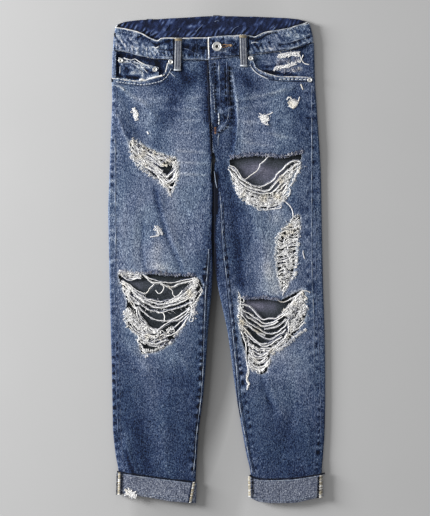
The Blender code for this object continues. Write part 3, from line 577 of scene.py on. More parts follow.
# What is left in the rips. Weft lies across them in bundles: a line, the bundle's width and
# its number of threads. Ends stick out of a torn edge: its line, their number, length and
# direction in degrees. Fluff is short broken fibre along a line, and curls are loops of
# slack thread along it, of a tone from 0 (dyed) to 1 (bleached).
Weft = namedtuple("Weft", "line width count")
Ends = namedtuple("Ends", "line count length toward tone", defaults=(0.75,))
Fluff = namedtuple("Fluff", "line width count")
Curls = namedtuple("Curls", "line width count tone")
RIGHT_KNEE_YARN = (
    Weft(((-186, -22), (-175, -27), (-162, -31), (-144, -29)), 7, 10),
    Weft(((-185, -25), (-177, -33), (-164, -37), (-145, -33)), 6, 8),
    Weft(((-142, -27), (-128, -36), (-112, -41), (-96, -44), (-81, -43), (-64, -39),
          (-40, -35)), 1.6, 2),
    Weft(((-140, -28), (-125, -43), (-108, -46), (-96, -51), (-84, -52), (-71, -46), (-55, -42),
          (-38, -36)), 3, 4),
    Weft(((-107, -47), (-102, -51), (-103, -58), (-110, -64), (-116, -58)), 1.4, 2),
    Weft(((-119, -46), (-128, -56), (-135, -64), (-145, -63), (-158, -55), (-168, -47),
          (-179, -41)), 1.4, 2),
    Weft(((-91, -54), (-85, -59), (-84, -67), (-76, -70), (-65, -59)), 0.4, 1),
    Weft(((-182, -41), (-159, -59), (-148, -68), (-134, -75), (-121, -80), (-109, -83), (-92, -80),
          (-73, -72), (-55, -57), (-40, -40)), 6.5, 12),
    Weft(((-90, -81), (-71, -76), (-55, -67), (-45, -53), (-39, -38)), 8, 10),
    Weft(((-180, -44), (-170, -53), (-159, -62), (-148, -72), (-137, -80)), 4, 5),
    Weft(((-158, -67), (-140, -80), (-128, -87), (-112, -92), (-93, -89), (-73, -83),
          (-48, -72)), 4, 5),
    Weft(((-169, -65), (-155, -76), (-144, -86), (-129, -95), (-114, -100), (-98, -99), (-81, -93),
          (-65, -88), (-47, -80)), 3.8, 6),
    Weft(((-170, -56), (-167, -70), (-157, -80), (-147, -86)), 6, 6),
    Weft(((-148, -91), (-140, -99), (-128, -108), (-114, -116), (-98, -117), (-81, -113), (-65, -103),
          (-51, -92)), 2.4, 4),
    Weft(((-112, -101), (-103, -102), (-100, -108), (-100, -116)), 0.4, 1),
    Weft(((-51, -91), (-60, -105), (-73, -114), (-87, -118), (-99, -124), (-107, -131),
          (-115, -138)), 3.5, 5),
    Weft(((-53, -104), (-65, -117), (-81, -129), (-93, -137), (-104, -142)), 4.5, 6),
    Weft(((-174, -95), (-165, -107), (-155, -119), (-140, -132), (-128, -139), (-117, -141)), 15, 22),
    Weft(((-153, -90), (-149, -108), (-138, -121), (-125, -133), (-113, -138)), 6, 8),
    Weft(((-172, -115), (-162, -127), (-151, -138), (-136, -145)), 7, 9),
    Weft(((-175, -96), (-173, -108), (-169, -122)), 4, 5),
    Weft(((-152, -140), (-134, -147), (-118, -149), (-104, -143), (-88, -143), (-76, -136), (-65, -124),
          (-54, -109)), 3, 5),
    Weft(((-149, -145), (-134, -154), (-118, -155), (-103, -149), (-90, -143)), 4, 5),
    Weft(((-142, -151), (-128, -158), (-112, -159), (-97, -151)), 3.4, 4),
    Weft(((-140, -156), (-125, -163), (-112, -164), (-103, -158), (-93, -151)), 4, 5),
    Weft(((-148, -143), (-145, -154), (-135, -160)), 5, 5),
    Weft(((-148, -158), (-144, -169), (-137, -177), (-133, -186)), 5, 7),
    Weft(((-39, -34), (-44, -53), (-47, -70), (-47, -89), (-45, -105)), 7, 9),
    Weft(((-41, -37), (-33, -50), (-28, -57), (-36, -62), (-42, -70)), 1.4, 2),
    Weft(((-27, -58), (-33, -69), (-38, -76), (-42, -84)), 0.9, 1),
    Weft(((-49, -108), (-52, -116), (-46, -117), (-45, -110)), 0.8, 1),
    Weft(((-178, -50), (-177, -61), (-170, -68), (-166, -63)), 0.8, 1),
    Weft(((-168, -60), (-166, -73), (-160, -84), (-152, -93)), 5, 6),
    Ends(((-183, -22), (-159, -26), (-140, -26), (-112, -27), (-88, -31), (-65, -31),
          (-39, -31)), 90, 4.5, 80, 0.3),
    Ends(((-134, -171), (-121, -172), (-106, -166), (-87, -156)), 46, 5, 290),
    Ends(((-176, -94), (-174, -116), (-168, -129), (-152, -142)), 36, 4, 200),
    Ends(((-83, -146), (-71, -134), (-61, -122)), 22, 4, 320),
    Ends(((-46, -36), (-32, -52), (-35, -72), (-47, -92)), 30, 4, 10),
    Fluff(((-172, -98), (-155, -119), (-128, -137)), 18, 170),
    Fluff(((-46, -40), (-47, -80), (-46, -112)), 11, 110),
    Fluff(((-140, -151), (-118, -156), (-98, -148)), 14, 90),
    Fluff(((-170, -50), (-140, -76), (-109, -83), (-75, -73), (-45, -45)), 8, 130),
    Fluff(((-160, -72), (-128, -94), (-98, -98), (-55, -84)), 6, 70),
    Fluff(((-184, -24), (-146, -31)), 6, 50),
    Fluff(((-44, -102), (-43, -103)), 9, 26),
    Curls(((-183, -24), (-150, -29)), 6, 12, 0.7),
    Curls(((-136, -23), (-112, -24), (-88, -28), (-65, -28), (-42, -28)), 3, 46, 0.15),
    Curls(((-182, -40), (-170, -62), (-166, -80)), 7, 22, 0.9),
    Curls(((-172, -98), (-160, -116), (-136, -134)), 14, 60, 0.8),
    Curls(((-41, -36), (-44, -70), (-48, -100)), 9, 46, 0.9),
    Curls(((-150, -150), (-138, -176)), 7, 16, 0.85),
    Curls(((-134, -148), (-104, -140), (-84, -134)), 10, 30, 0.85),
    Curls(((-110, -166), (-84, -152), (-70, -136)), 4, 18, 0.3),
)
LEFT_KNEE_YARN = (
    Weft(((40, -62), (44, -72), (45, -84)), 3, 4),
    Weft(((44, -72), (51, -74), (51, -81), (45, -80)), 0.8, 1),
    Weft(((43, -84), (58, -88), (67, -94), (77, -105), (88, -114), (97, -113), (110, -113), (119, -107),
          (130, -100), (136, -91), (144, -80), (152, -70), (164, -62)), 3, 5),
    Weft(((43, -87), (51, -97), (62, -103), (75, -113), (88, -122), (100, -121), (113, -116),
          (125, -108), (139, -98)), 3.6, 5),
    Weft(((44, -95), (58, -108), (72, -116), (88, -127), (107, -122), (116, -117)), 3, 4),
    Weft(((128, -105), (140, -94), (147, -83), (155, -74), (165, -65)), 10, 16),
    Weft(((135, -110), (144, -99), (152, -88), (162, -77), (167, -69)), 9, 12),
    Weft(((137, -132), (147, -121), (155, -110), (163, -99), (168, -86)), 9, 12),
    Weft(((139, -137), (154, -129), (165, -117)), 5, 6),
    Weft(((129, -103), (135, -111), (136, -122), (135, -139)), 3, 4),
    Weft(((45, -103), (59, -118), (72, -127), (84, -135), (94, -141), (107, -141), (119, -135),
          (130, -126), (135, -113)), 3, 5),
    Weft(((45, -115), (58, -124), (69, -133), (81, -140), (92, -144)), 3, 4),
    Weft(((49, -128), (61, -141), (72, -152), (84, -160), (94, -159), (107, -154), (119, -146),
          (130, -137), (137, -129)), 3.6, 6),
    Weft(((51, -138), (64, -151), (75, -159), (88, -166), (100, -162), (113, -154), (124, -147)), 3, 4),
    Weft(((90, -133), (104, -131), (118, -126), (132, -113)), 3, 4),
    Weft(((50, -121), (66, -131), (78, -140), (90, -150), (104, -151), (118, -143),
          (131, -133)), 2.6, 4),
    Weft(((44, -87), (46, -107), (46, -122), (48, -135)), 5, 7),
    Weft(((46, -130), (53, -137), (58, -151), (62, -164)), 4, 5),
    Weft(((46, -137), (51, -151), (55, -162), (55, -177), (56, -190), (58, -203), (61, -215),
          (57, -225), (57, -233), (61, -236), (58, -242), (57, -248)), 1.4, 2),
    Weft(((56, -232), (62, -233), (62, -238), (57, -241)), 1.0, 1),
    Weft(((60, -161), (72, -168), (81, -171), (91, -170), (102, -171)), 6, 8),
    Weft(((61, -170), (73, -177), (83, -181), (98, -178)), 3, 4),
    Weft(((60, -180), (72, -190), (83, -196), (94, -193), (101, -186)), 3, 4),
    Weft(((60, -191), (69, -200), (80, -204), (91, -201), (99, -192)), 2.6, 3),
    Weft(((61, -200), (72, -207), (81, -212), (90, -207), (96, -200)), 2, 3),
    Weft(((98, -179), (108, -170), (116, -162), (125, -154), (134, -142)), 6, 8),
    Weft(((101, -177), (113, -167), (124, -160), (135, -153)), 4, 5),
    Weft(((114, -76), (122, -80), (130, -80), (140, -75), (149, -70), (157, -63), (165, -59)), 1.8, 3),
    Weft(((160, -61), (170, -60), (177, -63)), 1, 2),
    Weft(((124, -152), (134, -146), (143, -138), (152, -130)), 4, 5),
    Weft(((132, -139), (140, -143), (147, -149)), 2, 3),
    Weft(((164, -79), (170, -88), (174, -93)), 0.8, 1),
    Ends(((50, -75), (69, -75), (88, -74), (103, -76), (118, -77)), 64, 5, 85, 0.2),
    Ends(((103, -180), (119, -170), (136, -158), (152, -143), (169, -131)), 66, 5.5, 310),
    Ends(((43, -66), (42, -86), (43, -108), (45, -131)), 34, 4, 185),
    Ends(((60, -184), (62, -204), (77, -213), (93, -208), (101, -190)), 40, 4.5, 270),
    Fluff(((132, -104), (147, -90), (163, -72)), 20, 170),
    Fluff(((140, -130), (156, -112), (166, -92)), 18, 130),
    Fluff(((62, -166), (80, -176), (98, -172)), 18, 30),
    Fluff(((64, -192), (80, -200), (96, -192)), 12, 18),
    Fluff(((46, -90), (48, -130), (58, -158)), 7, 80),
    Fluff(((102, -174), (118, -160), (134, -146)), 8, 70),
    Curls(((50, -72), (69, -72), (88, -71), (103, -73), (118, -74)), 3, 36, 0.15),
    Curls(((130, -104), (146, -90), (164, -70)), 16, 54, 0.85),
    Curls(((140, -128), (156, -112), (166, -92)), 14, 44, 0.85),
    Curls(((62, -168), (80, -176), (98, -172)), 14, 13, 0.95),
    Curls(((62, -196), (80, -206), (94, -196)), 9, 5, 0.95),
    Weft(((62, -172), (72, -184), (84, -186), (98, -178)), 5, 7),
    Weft(((60, -182), (72, -194), (84, -196), (97, -186)), 5, 7),
    Weft(((60, -194), (72, -206), (84, -207), (96, -196)), 5, 7),
    Weft(((64, -204), (76, -213), (90, -206)), 4, 6),
    Weft(((55, -186), (57, -198), (58, -212), (56, -226), (59, -236), (57, -247)), 1.8, 4),
    Curls(((44, -90), (46, -128)), 5, 18, 0.9),
)
LEFT_THIGH_YARN = (
    Weft(((98, 197), (89, 187), (82, 181), (79, 173), (70, 163), (59, 156), (52, 152), (46, 157),
          (41, 165), (34, 175), (24, 179)), 1.4, 2),
    Weft(((22, 177), (36, 168), (43, 157), (54, 148), (67, 141), (83, 139), (96, 144), (109, 154),
          (122, 170), (137, 183), (150, 188), (160, 185)), 3.2, 6),
    Weft(((22, 173), (37, 154), (52, 141), (70, 135), (87, 130), (100, 133), (113, 146), (128, 163),
          (144, 176), (159, 183)), 4, 6),
    Weft(((25, 168), (39, 148), (56, 135), (74, 127), (91, 125), (104, 128), (118, 141), (135, 159),
          (150, 172), (159, 178)), 4.4, 7),
    Weft(((34, 147), (52, 128), (70, 117), (87, 113), (104, 115), (122, 128), (139, 148)), 10, 18),
    Weft(((40, 130), (59, 115), (78, 106), (100, 106), (118, 115), (134, 130)), 9, 15),
    Weft(((60, 112), (78, 104), (98, 103), (118, 108), (131, 119)), 6, 9),
    Weft(((120, 145), (135, 154), (148, 163), (158, 174)), 8, 11),
    Weft(((134, 143), (146, 156), (156, 170)), 5, 7),
    Weft(((113, 96), (121, 99), (118, 105), (102, 101), (85, 102), (78, 98), (80, 94), (96, 96),
          (112, 97)), 1.4, 2),
    Weft(((126, 115), (137, 104), (143, 93), (145, 82), (152, 78)), 1, 2),
    Weft(((126, 118), (136, 121), (138, 133), (130, 139)), 1, 1),
    Ends(((26, 191), (52, 196), (78, 198), (104, 195), (126, 193), (144, 198),
          (162, 202)), 90, 6, 88, 0.2),
    Ends(((30, 157), (35, 137), (46, 118), (62, 107), (80, 98), (102, 95)), 46, 4.5, 225),
    Ends(((159, 176), (148, 154), (137, 137), (126, 119)), 30, 4, 340),
    Fluff(((34, 150), (44, 130), (62, 114)), 9, 80),
    Fluff(((60, 122), (90, 110), (122, 124)), 18, 150),
    Fluff(((122, 150), (142, 164), (156, 182)), 12, 110),
    Fluff(((30, 172), (60, 142), (88, 130)), 5, 50),
    Curls(((26, 195), (52, 199), (78, 201), (104, 198), (126, 197), (144, 201),
           (162, 205)), 4, 84, 0.15),
    Curls(((34, 150), (44, 130), (62, 114)), 10, 44, 0.9),
    Curls(((56, 112), (84, 104), (112, 106), (130, 118)), 10, 56, 0.9),
    Curls(((60, 124), (92, 114), (124, 130)), 12, 40, 0.8),
    Curls(((124, 150), (142, 166), (156, 180)), 10, 30, 0.85),
)
LEFT_SIDE_YARN = (
    Weft(((142, 77), (148, 74), (156, 77)), 8, 8),
    Weft(((122, 58), (132, 62), (144, 66), (157, 62)), 8, 8),
    Weft(((117, 46), (128, 54), (142, 50), (156, 54)), 5, 5),
    Weft(((115, 34), (125, 28), (139, 36), (154, 38)), 8, 8),
    Weft(((112, 24), (124, 22), (137, 28), (152, 30)), 6, 6),
    Weft(((112, 5), (124, 12), (137, 18), (152, 22)), 5, 5),
    Weft(((112, -4), (124, -2), (137, 5), (152, 12)), 7, 7),
    Weft(((112, -14), (125, -10), (139, -8), (152, -2)), 6, 6),
    Weft(((114, -28), (125, -22), (139, -16), (152, -14)), 6, 6),
    Weft(((118, -38), (127, -34), (139, -28), (149, -26)), 6, 6),
    Weft(((123, -50), (130, -46), (139, -40), (146, -34)), 5, 5),
    Weft(((124, -60), (129, -54), (137, -49)), 4, 4),
    Curls(((156, 70), (152, 20), (148, -30)), 5, 34, 0.95),
    Weft(((121, 51), (133, 56), (147, 51)), 4, 4),
    Weft(((116, 41), (124, 45), (134, 44)), 4, 5),
    Weft(((128, 61), (140, 57), (153, 61)), 4, 4),
    Weft(((135, 47), (146, 44), (155, 46)), 3, 3),
    Weft(((116, 17), (125, 14), (136, 19)), 5, 5),
    Weft(((115, 8), (124, 8), (136, 11)), 3, 3),
    Weft(((128, -1), (138, 1), (149, 0)), 3, 3),
    Weft(((127, 32), (129, 39), (138, 40), (145, 36), (144, 28), (136, 26), (129, 28),
          (127, 32)), 1, 2),
    Weft(((127, -44), (130, -41), (133, -45), (130, -49), (127, -46)), 0.9, 1),
    Weft(((125, -46), (127, -57), (125, -69)), 1.6, 3),
    Weft(((116, 45), (110, 40)), 0.6, 1),
    Weft(((163, 17), (164, 9), (166, 1)), 1.6, 3),
    Ends(((139, 72), (146, 81), (156, 84)), 16, 4, 70),
    Ends(((122, 54), (113, 37), (112, -11), (118, -36)), 40, 4, 185),
    Ends(((156, 74), (153, 28), (152, -11), (148, -33)), 34, 3.5, 0),
    Ends(((120, -42), (127, -60), (136, -47)), 22, 4, 260),
    Fluff(((148, 70), (136, 40), (130, 0), (134, -35)), 26, 160),
    Curls(((149, 74), (141, 56), (136, 30), (134, 4), (134, -20), (130, -44)), 18, 110, 0.75),
    Curls(((124, 50), (117, 30), (115, -10), (122, -40)), 4, 26, 0.9),
)
RIGHT_THIGH_YARN = (
    Weft(((-163, 226), (-156, 214), (-150, 208), (-140, 207), (-131, 208)), 6, 9),
    Weft(((-164, 214), (-160, 206), (-151, 200), (-140, 198)), 4, 6),
    Weft(((-135, 207), (-124, 197), (-116, 190), (-107, 191), (-99, 192), (-89, 186),
          (-78, 186)), 2.6, 4),
    Weft(((-142, 199), (-129, 194), (-119, 187), (-109, 180), (-101, 176)), 3.4, 5),
    Weft(((-163, 199), (-150, 189), (-140, 184), (-129, 182), (-119, 175), (-109, 167), (-100, 160),
          (-94, 157), (-87, 163), (-77, 173)), 5.5, 10),
    Weft(((-163, 194), (-146, 181), (-133, 175), (-119, 167), (-107, 156), (-97, 147), (-89, 149),
          (-82, 157), (-76, 167)), 6, 11),
    Weft(((-112, 156), (-101, 149), (-94, 144), (-86, 149), (-78, 158)), 5, 8),
    Weft(((-107, 153), (-98, 144), (-93, 137), (-83, 136)), 4, 6),
    Weft(((-97, 139), (-91, 130), (-87, 127), (-83, 134)), 4, 5),
    Weft(((-106, 184), (-99, 189), (-85, 186), (-76, 178)), 4.4, 7),
    Weft(((-78, 189), (-77, 177), (-78, 165), (-79, 152)), 2.4, 4),
    Weft(((-150, 209), (-141, 191), (-133, 180)), 5, 6),
    Weft(((-160, 220), (-150, 211), (-140, 209)), 4, 6),
    Ends(((-161, 229), (-146, 219), (-131, 209), (-116, 202), (-99, 197), (-78, 191)), 50, 4.5, 70),
    Ends(((-165, 197), (-153, 183), (-136, 168), (-116, 154), (-95, 138), (-89, 124)), 60, 5.5, 235),
    Ends(((-75, 186), (-74, 168), (-77, 150), (-82, 134)), 24, 3.5, 350),
    Fluff(((-160, 200), (-130, 180), (-98, 152)), 12, 110),
    Fluff(((-160, 216), (-140, 204), (-116, 190)), 9, 60),
    Fluff(((-104, 183), (-88, 185), (-78, 168)), 8, 50),
    Curls(((-160, 226), (-146, 216), (-131, 206), (-116, 199), (-99, 194), (-80, 190)), 4, 26, 0.5),
    Weft(((-160, 218), (-148, 204), (-132, 200), (-118, 190), (-104, 180), (-94, 178)), 6, 6),
    Weft(((-158, 206), (-142, 195), (-126, 189), (-114, 183), (-105, 177)), 7, 9),
    Weft(((-150, 197), (-134, 187), (-120, 178), (-110, 170), (-104, 166)), 7, 9),
    Weft(((-128, 200), (-112, 194), (-100, 197), (-86, 190)), 5, 7),
    Weft(((-120, 198), (-106, 190), (-92, 192), (-82, 184)), 4, 4),
    Weft(((-106, 165), (-95, 152), (-85, 150), (-77, 161)), 4, 6),
    Weft(((-98, 148), (-91, 138), (-84, 136), (-79, 147)), 4, 5),
    Curls(((-162, 206), (-148, 196), (-130, 186)), 8, 8, 0.9),
    Curls(((-150, 182), (-120, 162), (-96, 140)), 5, 16, 0.9),
    Curls(((-80, 186), (-78, 150)), 5, 18, 0.85),
)
# Small frays away from the rips, where the warp is rubbed off and the weft shows.
SMALL_FRAYS = (
    Weft(((-159, 288), (-155, 276), (-152, 264)), 8, 9),
    Curls(((-158, 284), (-153, 268)), 9, 22, 1.0),
    Weft(((-119, 64), (-114, 54), (-112, 47), (-127, 44)), 4, 5),
    Weft(((-117, 60), (-109, 56), (-105, 46)), 4, 4),
    Curls(((-117, 58), (-109, 48)), 8, 12, 0.7),
    Weft(((80, 277), (90, 273), (106, 279)), 4, 4),
    Weft(((82, 269), (90, 266), (99, 268)), 8, 8),
    Weft(((84, 261), (92, 258), (98, 255)), 4, 4),
    Curls(((86, 272), (93, 263)), 10, 40, 1.0),
    Weft(((132, 304), (136, 308), (142, 306)), 3, 3),
    Weft(((140, 300), (146, 298), (154, 300)), 8, 8),
    Weft(((136, 291), (144, 289), (150, 292)), 4, 4),
    Weft(((157, 309), (155, 300)), 2, 2),
    Curls(((140, 301), (148, 293)), 10, 40, 1.0),
    Weft(((-133, 243), (-130, 238)), 2, 3),
    Fluff(((86, 273), (94, 262)), 14, 30),
    Fluff(((139, 302), (148, 293)), 14, 26),
    Fluff(((-117, 60), (-108, 48)), 12, 24),
)
# A star of weft on the right cuff.
CUFF_FRAYS = (
    Weft(((-175, -436), (-164, -444), (-153, -452)), 5, 6),
    Weft(((-153, -441), (-163, -445), (-176, -448)), 5, 6),
    Weft(((-168, -434), (-164, -444), (-160, -454)), 4, 4),
    Curls(((-170, -440), (-158, -449)), 9, 26, 1.0),
)
# The left pocket's facing, worn through to its weft in two bands.
FACING_FRAYS = (
    Weft(((115, 384), (122, 389), (136, 391), (150, 394), (157, 392)), 5, 8),
    Weft(((118, 386), (134, 387), (154, 388)), 3, 5),
    Weft(((109, 358), (112, 364), (121, 366), (136, 369), (151, 375), (158, 378)), 3.6, 7),
    Weft(((112, 359), (120, 363), (136, 366), (152, 371)), 1.6, 3),
    Weft(((155, 391), (158, 387), (161, 379), (166, 373), (175, 370)), 1.6, 2),
    Weft(((163, 389), (161, 382), (157, 374)), 1.2, 1),
    Curls(((120, 387), (138, 389), (156, 391)), 7, 34, 1.0),
    Curls(((112, 362), (136, 369), (156, 376)), 4, 24, 1.0),
    Curls(((116, 377), (134, 377), (154, 379)), 7, 24, 0.1),
    Curls(((122, 359), (138, 359), (155, 362)), 7, 26, 0.2),
)

# ---------------------------------------------------------------- sewing and painted shadow lines

# Sewing thread, worn edges and lines of painted shadow. Tones run from 0, near black, for
# painted shadow in gaps and beside raised parts and for dark stitches, over indigo, worn blue, chalk
# and cream to drab, tan and rust. A bead is a rolled, worn edge, or painted shadow in the gap
# beside one; a row is a line of stitches; a tack is a short dense bar of zigzag.
SHADOW_BLACK, INDIGO, BLUE, WORN, CHALK = 0.0, 0.12, 0.24, 0.36, 0.48
WHITE, CREAM, DRAB, TAN, RUST = 0.6, 0.7, 0.8, 0.9, 1.0
Bead = namedtuple("Bead", "surface line radius tone")
Row = namedtuple("Row", "surface line pitch width tone")
Tack = namedtuple("Tack", "surface middle width height tone")
RIGHT_SCOOP = (
    (-199, 344), (-181, 341.6), (-163, 339.6), (-148, 339), (-142, 342), (-136, 338.5), (-132, 342),
    (-121, 345),
    (-110, 347), (-101, 350), (-97, 357), (-95.5, 365), (-93.6, 373),
)
RIGHT_SCOOP_ROW = ((-192, 338), (-178, 336), (-160, 334), (-140, 332), (-120, 335), (-104, 340),
                   (-94, 349), (-87, 362))
LEFT_SCOOP = ((67, 375), (71, 368), (77, 361), (93, 354), (107, 350), (119, 347), (157, 346.5),
              (174, 346))
LEFT_SCOOP_ROW = ((63, 370), (66, 364), (72, 357), (82, 350), (97, 342.5))
